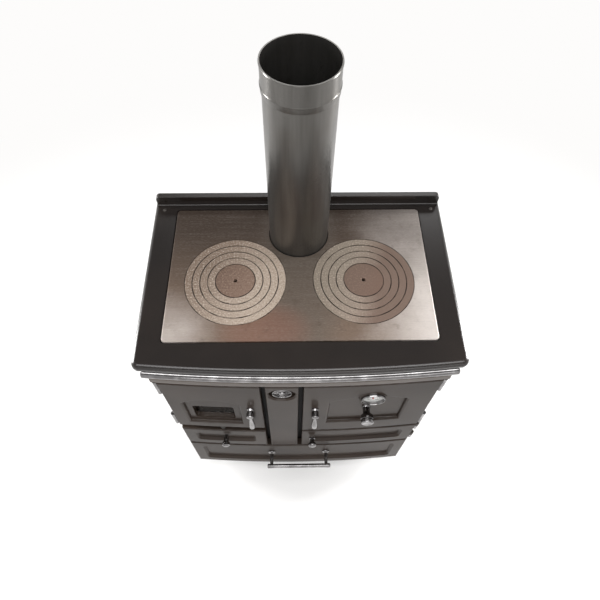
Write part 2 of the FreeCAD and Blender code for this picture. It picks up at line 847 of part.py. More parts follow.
def make_hotplate():
    """The ground hotplate, with stepped seats for two nests of rings and the hole for the flue."""
    body = new_body("hotplate")
    plan = new_sketch(body, "XY_Plane", "plate_under")
    rounded(plan, "- plate_half", "plate_half", "plate_front", "plate_rear", "plate_corner")
    slab = pad(body, plan, "plate_thickness")
    dress(body, "Chamfer", slab, "plate_chamfer",
          lambda edge: abs(edge.CenterOfMass.z - value("hob_height")) < 0.01)
    for side in (-1, 1):
        seat = new_sketch(body, "XY_Plane", "hob_height")
        circle(seat, f"{side} * ring_offset", "ring_place", "ring_radius + ring_gap")
        pocket(body, seat, "plate_thickness / 2")
        through = new_sketch(body, "XY_Plane", "hob_height")
        circle(through, f"{side} * ring_offset", "ring_place", "ring_radius + ring_gap - ring_seat")
        pocket(body, through)
    hole = new_sketch(body, "XY_Plane", "hob_height")
    circle(hole, "0", "flue_place", "flue_radius + flue_clearance")
    pocket(body, hole)
    rib = new_sketch(body, "XY_Plane", "plate_under")
    rectangle(rib, "- plate_rib / 2", "plate_rib / 2", "plate_front + ledge_width * 2",
              "flue_place - flue_radius - collar_flange - ledge_width")
    pad(body, rib, "plate_rib", backward=True)
    node("hotplate", body)


def make_rings():
    """Each nest is four rings and a lid. A ring hangs by its upper half on the step of the next one out."""
    for side_name, side in (("left", "-ring_offset"), ("right", "ring_offset")):
        where = (side, "ring_place", "hob_height")
        for number in range(1, 5):
            outer = f"(ring_radius - {number - 1} * ring_band)"
            inner = f"(ring_radius - {number} * ring_band + ring_gap)"
            ring = turned(f"{side_name}_ring_{number}_body", where, "up", [
                ("0", inner),
                ("0", outer),
                ("- plate_thickness / 2", outer),
                ("- plate_thickness / 2", f"{outer} - ring_seat - ring_gap"),
                ("- plate_thickness", f"{outer} - ring_seat - ring_gap"),
                ("- plate_thickness", f"{inner} - ring_seat"),
                ("- plate_thickness / 2", f"{inner} - ring_seat"),
                ("- plate_thickness / 2", inner),
            ])
            node(f"{side_name}_ring_{number}", ring)
        lid_radius = "(ring_radius - 4 * ring_band)"
        lid = turned(f"{side_name}_lid_body", where, "up", [
            ("0", "lifter_radius"),
            ("0", lid_radius),
            ("- plate_thickness / 2", lid_radius),
            ("- plate_thickness / 2", f"{lid_radius} - ring_seat - ring_gap"),
            ("- plate_thickness", f"{lid_radius} - ring_seat - ring_gap"),
            ("- plate_thickness", "lifter_radius"),
        ])
        node(f"{side_name}_ring_lid", lid)


# ---- the flue ----

def make_flue():
    """The flue pipe, with a swaged socket for the next length, and the collar that it stands in."""
    where = ("0", "flue_place", "0")
    foot = "shelf_under + smoke_shelf_thickness + deck_thickness"
    shoulder = "hob_height + flue_length - flue_socket"
    pipe = turned("flue_pipe_body", where, "up", [
        (foot, "flue_radius - flue_wall"),
        (foot, "flue_radius"),
        (f"{shoulder} - flue_wall * 2", "flue_radius"),
        (shoulder, "flue_radius + running_gap + flue_wall"),
        ("hob_height + flue_length", "flue_radius + running_gap + flue_wall"),
        ("hob_height + flue_length", "flue_radius + running_gap"),
        (shoulder, "flue_radius + running_gap"),
        (f"{shoulder} - flue_wall * 2", "flue_radius - flue_wall"),
    ])
    node("flue_pipe", pipe)
    base = "shelf_under + smoke_shelf_thickness"
    inner = "flue_radius - collar_wall"
    sleeve = "flue_radius + running_gap"
    collar = turned("flue_collar_body", where, "up", [
        (base, inner),
        (base, "flue_radius + collar_flange"),
        (f"{base} + collar_wall", "flue_radius + collar_flange"),
        (f"{base} + collar_wall", f"{sleeve} + collar_wall"),
        ("rim_under", f"{sleeve} + collar_wall"),
        ("rim_under", sleeve),
        (foot, sleeve),
        (foot, inner),
    ])
    node("flue_collar", collar)


def make_smoke_shelf():
    shelf = box("smoke_shelf_plate", "firebox_right", "body_half - panel_thickness",
                "back_inner - smoke_shelf_depth", "back_inner", "shelf_under",
                "shelf_under + smoke_shelf_thickness")
    hole = rod("smoke_shelf_hole", ("0", "flue_place", "shelf_under - smoke_shelf_thickness"),
               "flue_radius - collar_wall", "smoke_shelf_thickness * 3", "up")
    node("smoke_shelf", cut("smoke_shelf_cut", shelf, hole))


# ---- the rail ----

def make_rail():
    """The rail follows the bow, so it is turned about the bow's centre."""
    body = new_body("rail_bar")
    sketch = new_sketch(body, "YZ_Plane")
    circle(sketch, "- bow_radius + rail_setback", "0", "rail_radius")
    feature = body.newObject("PartDesign::Revolution", "rail_bar_revolution")
    feature.Profile = sketch
    feature.ReferenceAxis = (sketch, ["V_Axis"])
    feature.Midplane = True
    bind(feature, Angle="2 * asin(rail_half / (bow_radius - rail_setback))")
    place(body, "0", "bow_centre", "rail_height")
    dress(body, "Fillet", feature, "rail_radius / 2", lambda edge: edge.Length < 7 * value("rail_radius"))
    node("rail_bar", body)
    return body


def make_rail_posts(rail):
    posts = []
    for number in (-1, 0, 1):
        across = f"{number} * rail_post_spacing"
        near = bow("rail_setback", across)
        far = f"({bow('frame_back - facia_thickness', across)} - running_gap * 2)"
        posts.append(rod(f"rail_post_{number + 1}", (across, far, "rail_height"), "rail_post",
                         f"{far} - {near}", "forward"))
    node("rail_posts", cut("rail_posts_cut", group("rail_post_group", *posts), rail))


# ---- doors and drawer fronts ----

def plain_door(label, left, right, foot, top):
    """A low door or drawer front, with a plain sunk panel."""
    floor = "door_setback + recess_depth"
    body = softened(label, left, right, foot, top, "door_setback", floor, "door_round")
    inset = "(recess_border + bevel)"
    recess = front_cut(body, lambda sketch: rounded(
        sketch, f"{left} + {inset}", f"{right} - {inset}", f"{foot} + {inset}", f"{top} - {inset}",
        "opening_corner"))
    dress(body, "Chamfer", recess, "bevel", inside_edges(left, right, foot, top, "door_setback"))
    slab = new_sketch(body, "XY_Plane", foot)
    bowed_outline(slab, left, right, floor, "door_back")
    pad(body, slab, f"({top}) - ({foot})")
    return body


def make_seal(label, opening):
    """The rope seal, pressed flat in the space between a door and the front plate."""
    left, right, low, high = openings[opening]
    lap = "seal_width / 2"
    body = layer(label, f"{left} - seal_width - {lap}", f"{right} + seal_width + {lap}",
                 f"{low} - seal_width - {lap}", f"{high} + seal_width + {lap}",
                 "door_back + running_gap", "door_back + seal_space - running_gap")
    front_cut(body, lambda sketch: rounded(sketch, f"{left} - {lap}", f"{right} + {lap}", f"{low} - {lap}",
                                           f"{high} + {lap}", "opening_corner"))
    node(label, body)


def make_barrels(label, side, foot, top, height):
    """The two hinge barrels of a door, each with a leaf against the door's edge."""
    barrels = []
    starts = (f"{foot} + {height} + hinge_end_gap", f"{top} - {height} - hinge_end_gap")
    for number, start in enumerate(starts):
        axis = f"{side} * hinge_axis"
        along = "bow_front + hinge_setback + (bow_radius - sqrt(bow_radius^2 - hinge_axis^2))"
        barrel = rod(f"{label}_barrel_{number}", (axis, along, start), "barrel_radius", height, "up")
        if side < 0:
            near, far = "- door_half - barrel_radius", "- door_half"
        else:
            near, far = "door_half", "door_half + barrel_radius"
        leaf = box(f"{label}_leaf_{number}", near, far, f"{along} - hinge_leaf",
                   f"{along} + barrel_radius * 2", start, f"{start} + {height}")
        bore = rod(f"{label}_bore_{number}", (axis, along, start), "pin_radius + pin_clearance", height, "up")
        barrels.append(cut(f"{label}_hinge_{number}", fuse(f"{label}_solid_{number}", barrel, leaf), bore))
    return group(f"{label}_group", *barrels)


def make_pintles():
    """The fixed halves of the hinges: a lug on the front plate with a pin that stands in each barrel."""
    rows = [
        (-1, "firebox_door_foot", "door_top", "hinge_height"),
        (1, "oven_door_foot", "door_top", "hinge_height"),
        (1, "warming_door_foot", "warming_door_top", "small_hinge_height"),
    ]
    lugs = []
    along = "(bow_front + hinge_setback + (bow_radius - sqrt(bow_radius^2 - hinge_axis^2)))"
    for row, (side, foot, top, height) in enumerate(rows):
        starts = (f"({foot} + {height} + hinge_end_gap)", f"({top} - {height} - hinge_end_gap)")
        for number, barrel in enumerate(starts):
            name = f"pintle_{row}_{number}"
            axis = f"{side} * hinge_axis"
            start = f"{barrel} - {height}"
            where = (axis, along, start)
            knuckle = rod(name + "_knuckle", where, "barrel_radius", f"{height} - running_gap", "up")
            web = box(name + "_web", f"{axis} - barrel_radius * 0.8", f"{axis} + barrel_radius * 0.8", along,
                      bow("frame_front", "hinge_axis - barrel_radius"), start, f"{barrel} - running_gap")
            pin = rod(name + "_pin", where, "pin_radius", f"2 * {height} - pin_radius", "up")
            lugs.append(fuse(name, knuckle, web, pin))
    node("hinge_pintles", group("pintles", *lugs))


def lever_latch(label, across):
    """A boss and spindle through the door, with a hanging lever in front and a cam behind."""
    face = bow("door_setback", across)
    back = f"{face} + door_thickness"
    where = (across, face, "latch_height")
    boss = turned(label + "_boss", where, "forward", [
        ("-(door_thickness + boss_radius * 1.5)", "0"),
        ("-(door_thickness + boss_radius * 1.5)", "spindle_radius"),
        ("running_gap * 2", "spindle_radius"),
        ("running_gap * 2", "boss_radius"),
        ("boss_reach - boss_radius / 2", "boss_radius"),
        ("boss_reach", "boss_radius / 2"),
        ("boss_reach", "0"),
    ])
    reach = f"{face} - boss_reach + boss_radius"
    hanging = (across, reach, "latch_height - lever_length")
    stem = rod(label + "_stem", hanging, "lever_radius", "lever_length", "up")
    grip = turned(label + "_grip", hanging, "up", [
        ("- lever_radius", "0"),
        ("- lever_radius", "lever_radius"),
        ("0", "lever_radius * 1.4"),
        ("lever_length * 0.55", "lever_radius"),
        ("lever_length * 0.55", "0"),
    ])
    cam = box(label + "_cam", f"{across} - spindle_radius", f"{across} + spindle_radius",
              f"{back} + seal_space", f"{back} + seal_space + boss_radius",
              "latch_height - cam_length", "latch_height")
    node(label, fuse(label + "_solid", boss, stem, grip, cam))


def make_firebox_door():
    left, right, foot, top = "- door_half", "left_inner", "firebox_door_foot", "door_top"
    body = arched_door("firebox_door_frame", left, right, foot, top, ("recess_border", "latch_border"),
                       "recess_below_door")
    inset = "(bevel + window_border)"
    glass_left = f"({left} + recess_border + {inset})"
    glass_right = f"({right} - latch_border - {inset})"
    glass_foot = f"({foot} + recess_border + {inset})"
    glass_top = "(door_top - recess_below_door - bevel - window_below_crown)"
    front_cut(body, lambda sketch: rounded(
        sketch, glass_left, glass_right, glass_foot, glass_top, "opening_corner"))
    latch = "left_inner - latch_inset"
    bored(body, latch, "latch_height")
    node("firebox_door_frame", body)
    lap = "glass_lap"
    behind = "door_back + running_gap + glass_thickness"
    pane = layer("firebox_door_glass", f"{glass_left} - {lap}", f"{glass_right} + {lap}",
                 f"{glass_foot} - {lap}", f"{glass_top} + {lap}", "door_back + running_gap", behind)
    node("firebox_door_glass", pane)
    clips = []
    for number, height in enumerate((f"{glass_foot} + {lap}", f"{glass_top} - {lap} - clip_height")):
        sides = ((f"{glass_left} - {lap}", -1), (f"{glass_right} + {lap}", 1))
        for edge, way in sides:
            outer = sorted((f"{edge} + {way} * running_gap", f"{edge} + {way} * clip_height"), key=value)
            inner = sorted((f"{edge} + {way} * running_gap", f"{edge} - {way} * {lap} / 2"), key=value)
            name = f"clip_{number}_{way + 1}"
            span = (height, f"{height} + clip_height")
            far = f"{behind} + running_gap + clip_thickness"
            base = layer(name + "_base", *outer, *span, "door_back + running_gap", far)
            tongue = layer(name + "_tongue", *inner, *span, f"{behind} + running_gap", far)
            clips.append(fuse(name, base, tongue))
    node("glass_clips", group("clips", *clips))
    make_seal("firebox_door_seal", "firebox")
    node("firebox_door_hinges", make_barrels("firebox", -1, foot, top, "hinge_height"))
    lever_latch("firebox_door_latch", latch)


def make_oven_door():
    left, right, foot, top = "right_inner", "door_half", "oven_door_foot", "door_top"
    body = arched_door("oven_door_panel", left, right, foot, top, ("oven_border", "oven_border"),
                       "oven_recess_below_door")
    seat_depth = f"{bow('door_setback', 'thermometer_across')} + thermometer_seat"
    boss = new_sketch(body, "XZ_Plane", f"-({seat_depth} + thermometer_plate)")
    circle(boss, "thermometer_across", "thermometer_height", "thermometer_radius + bevel / 2")
    pad(body, boss, "thermometer_plate + thermometer_seat")
    seat = new_sketch(body, "XZ_Plane", f"-({seat_depth})")
    circle(seat, "thermometer_across", "thermometer_height", "thermometer_radius + running_gap")
    pocket(body, seat, "thermometer_seat * 2", backward=True)
    latch = "right_inner + latch_inset"
    bored(body, latch, "latch_height")
    bored(body, "knob_across", "knob_height")
    node("oven_door_panel", body)
    opening_left, opening_right, low, high = openings["oven"]
    gap = "boss_radius"
    liner = layer("oven_door_liner", f"{opening_left} + 3 * {gap}", f"{opening_right} - {gap}",
                  f"{low} + {gap}", f"{high} - {gap}", "door_back + running_gap",
                  "door_back + liner_thickness")
    bored(liner, "knob_across", "knob_height")
    node("oven_door_liner", liner)
    make_seal("oven_door_seal", "oven")
    node("oven_door_hinges", make_barrels("oven", 1, foot, top, "hinge_height"))
    lever_latch("oven_door_latch", latch)
    floor = bow("door_setback + recess_depth", "knob_across")
    behind = "(door_thickness - recess_depth + liner_thickness + running_gap)"
    knob = turned("vent_knob_body", ("knob_across", floor, "knob_height"), "forward", [
        (f"-{behind}", "0"),
        (f"-{behind}", "spindle_radius"),
        ("running_gap * 2", "spindle_radius"),
        ("running_gap * 2", "knob_radius * 0.6"),
        ("knob_reach * 0.4", "knob_radius * 0.6"),
        ("knob_reach * 0.5", "knob_radius"),
        ("knob_reach - door_round", "knob_radius"),
        ("knob_reach", "knob_radius - door_round"),
        ("knob_reach", "0"),
    ])
    node("vent_knob", knob)
    where = ("thermometer_across", seat_depth, "thermometer_height")
    rim = "thermometer_seat + thermometer_reach"
    bezel = turned("thermometer_bezel_body", where, "forward", [
        ("0", "0"),
        ("0", "thermometer_radius"),
        (f"{rim} - thermometer_wall", "thermometer_radius"),
        (rim, "thermometer_radius - thermometer_wall / 2"),
        (rim, "thermometer_radius - thermometer_wall"),
        ("thermometer_wall", "thermometer_radius - thermometer_wall"),
        ("thermometer_wall", "0"),
    ])
    node("thermometer_bezel", bezel)
    inner = "thermometer_radius - thermometer_wall - running_gap"
    dial = turned("thermometer_dial_body", where, "forward", [
        ("thermometer_wall", "needle_hub + spindle_clearance"),
        ("thermometer_wall", inner),
        ("thermometer_wall + 1", inner),
        ("thermometer_wall + 1", "needle_hub + spindle_clearance"),
    ])
    node("thermometer_dial", dial)
    front = f"{seat_depth} - thermometer_wall"
    where = ("thermometer_across", f"{front} - running_gap / 3", "thermometer_height")
    hub = rod("needle_hub_rod", where, "needle_hub", "needle_reach", "forward")
    arm = box("needle_arm", "thermometer_across - needle_hub / 2", "thermometer_across + needle_hub / 2",
              f"{front} - needle_reach", f"{front} - needle_reach * 0.6",
              "thermometer_height - needle_hub * 3", f"thermometer_height + ({inner}) * 0.8")
    node("thermometer_needle", fuse("needle_solid", hub, arm))


def small_knob(label, where, behind):
    """A turned knob with a spindle that runs back through the door."""
    return turned(label, where, "forward", [
        (f"-({behind})", "0"),
        (f"-({behind})", "spindle_radius"),
        ("running_gap * 2", "spindle_radius"),
        ("running_gap * 2", "small_knob_radius * 0.6"),
        ("small_knob_reach * 0.4", "small_knob_radius * 0.6"),
        ("small_knob_reach * 0.6", "small_knob_radius"),
        ("small_knob_reach * 0.85", "small_knob_radius"),
        ("small_knob_reach", "small_knob_radius * 0.6"),
        ("small_knob_reach", "0"),
    ])


def make_warming_door():
    left, right, foot, top = "right_inner", "door_half", "warming_door_foot", "warming_door_top"
    body = plain_door("warming_door_casting", left, right, foot, top)
    across = "right_inner + latch_inset"
    middle = f"({foot} + {top}) / 2"
    bored(body, across, middle)
    barrels = make_barrels("warming", 1, foot, top, "small_hinge_height")
    node("warming_door_panel", fuse("warming_door_solid", body, barrels))
    make_seal("warming_door_seal", "warming")
    face = bow("door_setback", across)
    knob = small_knob("warming_knob_body", (across, face, middle), "door_thickness + boss_radius * 1.5")
    back = f"{face} + door_thickness + seal_space"
    cam = box("warming_cam", f"{across} - spindle_radius", f"{across} + spindle_radius",
              back, f"{back} + boss_radius", f"{middle} - cam_length", middle)
    node("warming_door_knob", fuse("warming_knob_solid", knob, cam))


def tray(label, left, right, back, low, height):
    """An open-topped tray behind a drawer front, whose front wall follows the bow."""
    body = new_body(label)
    sketch = new_sketch(body, "XY_Plane", low)
    outline(sketch, [
        (left, bow("door_back", left), "bow_radius - (door_back)", "left"),
        (right, bow("door_back", right)),
        (right, back),
        (left, back),
    ])
    pad(body, sketch, height)
    inside = new_sketch(body, "XY_Plane", f"{low} + {height}")
    wall = "tray_wall"
    widest = f"{left}" if abs(value(left)) > abs(value(right)) else f"{right}"
    rectangle(inside, f"({left}) + {wall}", f"({right}) - {wall}", bow("door_back + tray_wall * 2", widest),
              f"({back}) - {wall}")
    pocket(body, inside, f"{height} - {wall}")
    return body


def make_ash_drawer():
    left, right, foot, top = "- door_half", "left_inner", "warming_door_foot", "ash_front_top"
    front = plain_door("ash_front_panel", left, right, foot, top)
    middle = f"({foot} + {top}) / 2"
    across = "riddle_across"
    bored(front, across, middle, "spindle_radius")
    knob = small_knob("ash_knob", (across, bow("door_setback", across), middle), "door_thickness / 2")
    node("ash_drawer_front", fuse("ash_front_solid", front, knob))
    opening_left, opening_right, low, _ = openings["ash"]
    pan = tray("ash_pan", f"{opening_left} + opening_corner", f"{opening_right} - opening_corner",
               "firebox_back - box_wall * 5", f"{low} + running_gap", "ash_pan_height")
    node("ash_pan", pan)


def make_storage_drawer():
    left, right, foot, top = "- door_half", "door_half", "drawer_front_foot", "drawer_front_top"
    front = plain_door("drawer_front_panel", left, right, foot, top)
    node("drawer_front", front)
    side = "(door_half - opening_margin - drawer_clearance)"
    height = "(drawer_front_top - opening_margin - drawer_headroom - drawer_foot)"
    case = tray("drawer_box", f"- {side}", side, "bow_front + door_back + drawer_depth",
                "drawer_foot", height)
    node("drawer_box", case)
    runners = []
    for number, way in enumerate((-1, 1)):
        near = f"{way} * ({side} + running_gap)"
        web = sorted((near, f"{way} * ({side} + running_gap + runner_web)"), key=value)
        flange = sorted((near, f"{way} * ({side} - runner_rise)"), key=value)
        start = bow("frame_back + running_gap", f"{side} + runner_web")
        low, high = "plinth_height", "plinth_height + runner_rise"
        upright = box(f"runner_web_{number}", *web, start, "box_back", low, f"{high} + {height} / 2")
        ledge = box(f"runner_ledge_{number}", *flange, start, "box_back", f"{high} - runner_web", high)
        runners.append(fuse(f"runner_{number}", upright, ledge))
    node("drawer_runners", group("runners", *runners))
    grip = f"({foot} + {top}) / 2"
    middle = "bow_front - handle_reach + handle_radius"
    bar = rod("handle_bar", ("- handle_half_length - handle_radius * 2", middle, grip), "handle_radius",
              "2 * handle_half_length + handle_radius * 4", "right")
    floor = "door_setback + recess_depth"
    posts = []
    for number, way in enumerate((-1, 1)):
        across = f"{way} * handle_half_length"
        base = f"({bow(floor, across)} - running_gap)"
        posts.append(rod(f"handle_post_{number}", (across, base, grip), "handle_radius * 0.8",
                         f"{base} - ({middle})", "forward"))
    node("drawer_handle", fuse("drawer_handle_solid", bar, *posts))


# ---- the fire, the ovens and the ash ----

def make_firebox():
    """The firebox: an open-topped shell with a ledge for the grate, and the chute below it."""
    left, right = "firebox_left", "firebox_right"
    ash_top = "(ash_front_top - opening_margin + box_wall)"
    body = new_body("firebox_shell")
    near = "frame_back + running_gap"
    plan = new_sketch(body, "XY_Plane", ash_top)
    outline(plan, [
        (left, bow(near, left), f"bow_radius - ({near})", "left"),
        (right, bow(near, right)),
        (right, "firebox_back"),
        (left, "firebox_back"),
    ])
    pad(body, plan, f"firebox_top - {ash_top}")
    fire = new_sketch(body, "XY_Plane", "firebox_top")
    rectangle(fire, f"{left} + box_wall", f"{right} - box_wall", "bow_front", "firebox_back - box_wall")
    pocket(body, fire, "firebox_top - grate_under")
    chute = new_sketch(body, "XY_Plane", "firebox_top")
    inset = "(box_wall + grate_ledge + brick_thickness / 2)"
    chute_front = bow("frame_back + grate_ledge", left)
    rectangle(chute, f"{left} + {inset}", f"{right} - {inset}", chute_front, f"firebox_back - {inset}")
    pocket(body, chute)
    node("firebox_shell", body)
    tunnel_left, tunnel_right, low, high = openings["ash"]
    tunnel = open_box("ash_tunnel", f"{tunnel_left} - box_wall", f"{tunnel_right} + box_wall", "firebox_back",
                      f"{low} - box_wall", f"{high} + box_wall", "box_wall")
    hatch = new_sketch(tunnel, "XY_Plane", f"{high} + box_wall * 2")
    rectangle(hatch, f"{left} + {inset}", f"{right} - {inset}", chute_front, f"firebox_back - {inset}")
    pocket(tunnel, hatch, "box_wall * 3")
    node("ash_tunnel", tunnel)


def slotted(label, left, right, front, back, low, thickness, slot, pitch):
    """A cast plate with a row of long slots."""
    body = new_body(label)
    plan = new_sketch(body, "XY_Plane", low)
    rectangle(plan, left, right, front, back)
    pad(body, plan, thickness)
    slots = new_sketch(body, "XY_Plane", f"{low} + {thickness}")
    border = f"({pitch})"
    first = f"({left}) + {border}"
    rounded(slots, first, f"{first} + {slot}", f"({front}) + {border}", f"({back}) - {border}",
            f"(({slot} - running_gap) / 2)")
    single = pocket(body, slots)
    row = body.newObject("PartDesign::LinearPattern", body.Name + "_row")
    row.Originals = [single]
    row.Direction = (slots, ["H_Axis"])
    span = f"({right}) - ({left}) - 2 * {border} - {slot}"
    count = int(value(span) // value(pitch)) + 1
    row.Occurrences = count
    bind(row, Length=f"{count - 1} * {pitch}")
    body.Tip = row
    return body


def make_grate():
    left, right = "(firebox_left + box_wall)", "(firebox_right - box_wall)"
    back = "(firebox_back - box_wall)"
    fire_front = bow("frame_back + running_gap * 2", "firebox_left")
    grate = slotted("fire_grate", f"{left} + running_gap", f"{right} - running_gap", fire_front,
                    f"{back} - running_gap", "grate_under", "grate_thickness", "grate_slot", "grate_pitch")
    node("fire_grate", grate)
    inner = "(brick_thickness + running_gap)"
    riddle = slotted("riddle_plate", f"{left} + {inner}", f"{right} - {inner}", "riddle_front",
                     f"{back} - {inner}", "grate_top + running_gap", "riddle_thickness",
                     "grate_slot", "grate_pitch")
    face = bow("frame_front", "riddle_across")
    start = "(riddle_front + riddle_radius / 2)"
    pull = rod("riddle_rod", ("riddle_across", start, "riddle_axis"), "riddle_radius",
               f"{start} - ({face}) + running_gap", "forward")
    knob = turned("riddle_knob", ("riddle_across", f"{face} - running_gap", "riddle_axis"), "forward", [
        ("0", "0"),
        ("0", "riddle_radius"),
        ("riddle_knob_radius", "riddle_radius"),
        ("riddle_knob_radius * 1.5", "riddle_knob_radius"),
        ("riddle_knob_radius * 2.5", "riddle_knob_radius"),
        ("riddle_knob_radius * 3", "riddle_knob_radius * 0.6"),
        ("riddle_knob_radius * 3", "0"),
    ])
    node("riddling_grate", fuse("riddling_solid", riddle, pull, knob))
    side_front = bow("frame_back + running_gap * 2", "firebox_left")
    side_back = f"{back} - brick_thickness"
    low, high = "grate_top", "grate_top + brick_height"
    bricks = [
        box("brick_left", left, f"{left} + brick_thickness", side_front, side_back, low, high),
        box("brick_right", f"{right} - brick_thickness", right, side_front, side_back, low, high),
        box("brick_back", left, right, f"{back} - brick_thickness", back, low, high),
    ]
    node("firebricks", group("bricks", *bricks))


def make_ovens():
    left, right, low, high = openings["oven"]
    wall = "box_wall"
    oven = open_box("oven_box", f"{left} - {wall}", f"{right} + {wall}", "box_back", f"{low} - {wall}",
                    f"{high} + {wall}", wall)
    front = bow("frame_back + runner_size", "door_half")
    for shelf in ("lower_shelf_height", "upper_shelf_height"):
        for near, far in ((left, f"{left} + runner_size"), (f"{right} - runner_size", right)):
            ledge = new_sketch(oven, "XY_Plane", f"{low} + {shelf} - runner_size")
            rectangle(ledge, near, far, front, "box_back - box_wall")
            pad(oven, ledge, "runner_size")
    node("oven_box", oven)
    shelves = []
    for shelf in ("lower_shelf_height", "upper_shelf_height"):
        shelves.append(slotted(shelf + "_plate", f"{left} + running_gap", f"{right} - running_gap",
                               front, "box_back - box_wall - running_gap", f"{low} + {shelf}",
                               "shelf_thickness", "shelf_slot", "shelf_pitch"))
    node("oven_shelves", group("shelves", *shelves))
    left, right, low, high = openings["warming"]
    warming = open_box("warming_box", f"{left} - {wall}", f"{right} + {wall}", "box_back", f"{low} - {wall}",
                       f"{high} + {wall}", wall)
    node("warming_box", warming)


def make_air_wheel():
    """The air wheel, on a spindle through the pillar and the front plate."""
    seat = "bow_front + pillar_setback + wheel_recess_depth"
    behind = "(frame_back - pillar_setback - wheel_recess_depth + boss_radius * 2)"
    wheel = turned("air_wheel_body", ("wheel_across", seat, "wheel_height"), "forward", [
        (f"- {behind}", "0"),
        (f"- {behind}", "spindle_radius"),
        ("running_gap", "spindle_radius"),
        ("running_gap", "wheel_radius"),
        ("wheel_reach * 0.6", "wheel_radius"),
        ("wheel_reach", "wheel_radius - wheel_reach / 3"),
        ("wheel_reach * 0.7", "wheel_radius * 0.6"),
        ("wheel_reach * 0.7", "spindle_radius * 1.6"),
        ("wheel_reach * 1.3", "spindle_radius"),
        ("wheel_reach * 1.3", "0"),
    ])
    node("air_wheel", wheel)


make_base()
make_feet()
make_side("side_panel_left", -1)
make_side("side_panel_right", 1)
make_back()
make_front_plate()
make_pillar()
make_pintles()
make_surround()
make_screws()
make_upstand()
make_hotplate()
make_rings()
make_flue()
make_smoke_shelf()
make_rail_posts(make_rail())
make_firebox()
make_grate()
make_ovens()
make_air_wheel()
make_firebox_door()
make_oven_door()
make_warming_door()
make_ash_drawer()
make_storage_drawer()
document.recompute()

for item in document.Objects:
    if "Invalid" in item.State or "Error" in item.State:
        raise RuntimeError(f"{item.Name} did not build")
    if item.TypeId == "PartDesign::Pocket" and item.Shape.Volume >= item.BaseFeature.Shape.Volume:
        raise RuntimeError(f"{item.Name} cuts nothing")
for item in nodes:
    if item.Shape.isNull() or not item.Shape.isValid():
        raise RuntimeError(f"{item.Label} has no valid shape")

os.makedirs("parts", exist_ok=True)
for item in nodes:
    item.Shape.exportStep(f"parts/{item.Label}.step")
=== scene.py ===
import json
import math
import bmesh
import bpy
from mathutils import Matrix, Vector

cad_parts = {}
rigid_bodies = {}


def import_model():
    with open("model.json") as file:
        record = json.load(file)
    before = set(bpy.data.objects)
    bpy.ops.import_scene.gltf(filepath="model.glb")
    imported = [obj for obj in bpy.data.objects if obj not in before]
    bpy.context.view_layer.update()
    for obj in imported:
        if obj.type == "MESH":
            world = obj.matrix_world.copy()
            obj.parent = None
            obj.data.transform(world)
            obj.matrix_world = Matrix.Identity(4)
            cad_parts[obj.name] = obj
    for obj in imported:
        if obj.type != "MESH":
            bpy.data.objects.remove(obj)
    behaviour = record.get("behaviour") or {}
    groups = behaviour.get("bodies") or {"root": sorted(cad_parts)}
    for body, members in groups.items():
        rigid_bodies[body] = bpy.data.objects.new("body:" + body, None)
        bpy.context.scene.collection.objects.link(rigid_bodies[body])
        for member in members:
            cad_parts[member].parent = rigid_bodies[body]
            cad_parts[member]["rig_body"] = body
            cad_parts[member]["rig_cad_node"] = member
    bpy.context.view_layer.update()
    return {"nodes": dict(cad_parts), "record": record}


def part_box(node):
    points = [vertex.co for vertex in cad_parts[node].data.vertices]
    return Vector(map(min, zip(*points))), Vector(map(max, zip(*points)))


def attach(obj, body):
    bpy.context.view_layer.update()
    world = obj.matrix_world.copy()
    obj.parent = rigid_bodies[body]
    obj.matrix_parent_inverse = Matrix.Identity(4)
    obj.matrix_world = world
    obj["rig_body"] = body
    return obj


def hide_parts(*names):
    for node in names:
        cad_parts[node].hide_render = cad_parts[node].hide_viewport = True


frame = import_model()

nodes = frame["nodes"]
scene = bpy.context.scene
print("the frame is loaded")

# the bow that the whole front follows, in metres
bow = {
    "radius": 4.0,
    "centre": 3.769,        # y of its centre
    "doorFace": 0.001,      # set back from the foremost line
    "recessFloor": 0.010,
    "rail": 0.007,
    "facia": 0.035,
}


def bowY(x, setback=0.0):
    return bow["centre"] - math.sqrt((bow["radius"] - setback) ** 2 - x * x)


# modelling helpers
def clearSelection():
    if bpy.context.object and bpy.context.object.mode == "EDIT":
        bpy.ops.object.mode_set(mode="OBJECT")
    bpy.ops.object.select_all(action="DESELECT")


def workOn(piece):
    clearSelection()
    piece.select_set(True)
    bpy.context.view_layer.objects.active = piece
    return piece


def settle(piece):  # its place goes into its mesh
    workOn(piece)
    bpy.ops.object.transform_apply(location=True, rotation=True, scale=True)
    return piece


def applyModifier(piece, kind, **settings):
    workOn(piece)
    modifier = piece.modifiers.new("step", kind)
    for name, setting in settings.items():
        setattr(modifier, name, setting)
    bpy.ops.object.modifier_apply(modifier=modifier.name)
    return piece


def smoothShade(piece, angle=35):
    workOn(piece)
    bpy.ops.object.shade_smooth_by_angle(angle=math.radians(angle))
    return applyModifier(piece, "WEIGHTED_NORMAL", keep_sharp=True)


def softenEdges(piece, width, segments=2, angle=30):
    applyModifier(piece, "BEVEL", width=width, segments=segments, limit_method="ANGLE",
                  angle_limit=math.radians(angle))
    return smoothShade(piece)


def joinPieces(name, pieces):
    clearSelection()
    for piece in pieces:
        piece.select_set(True)
    bpy.context.view_layer.objects.active = pieces[0]
    if len(pieces) > 1:
        bpy.ops.object.join()
    pieces[0].name = name
    return pieces[0]


def openMesh(piece):  # into edit mode, with all of it picked
    workOn(piece)
    bpy.ops.object.mode_set(mode="EDIT")
    bpy.ops.mesh.select_all(action="SELECT")


def closeMesh(piece):
    bpy.ops.object.mode_set(mode="OBJECT")
    return piece


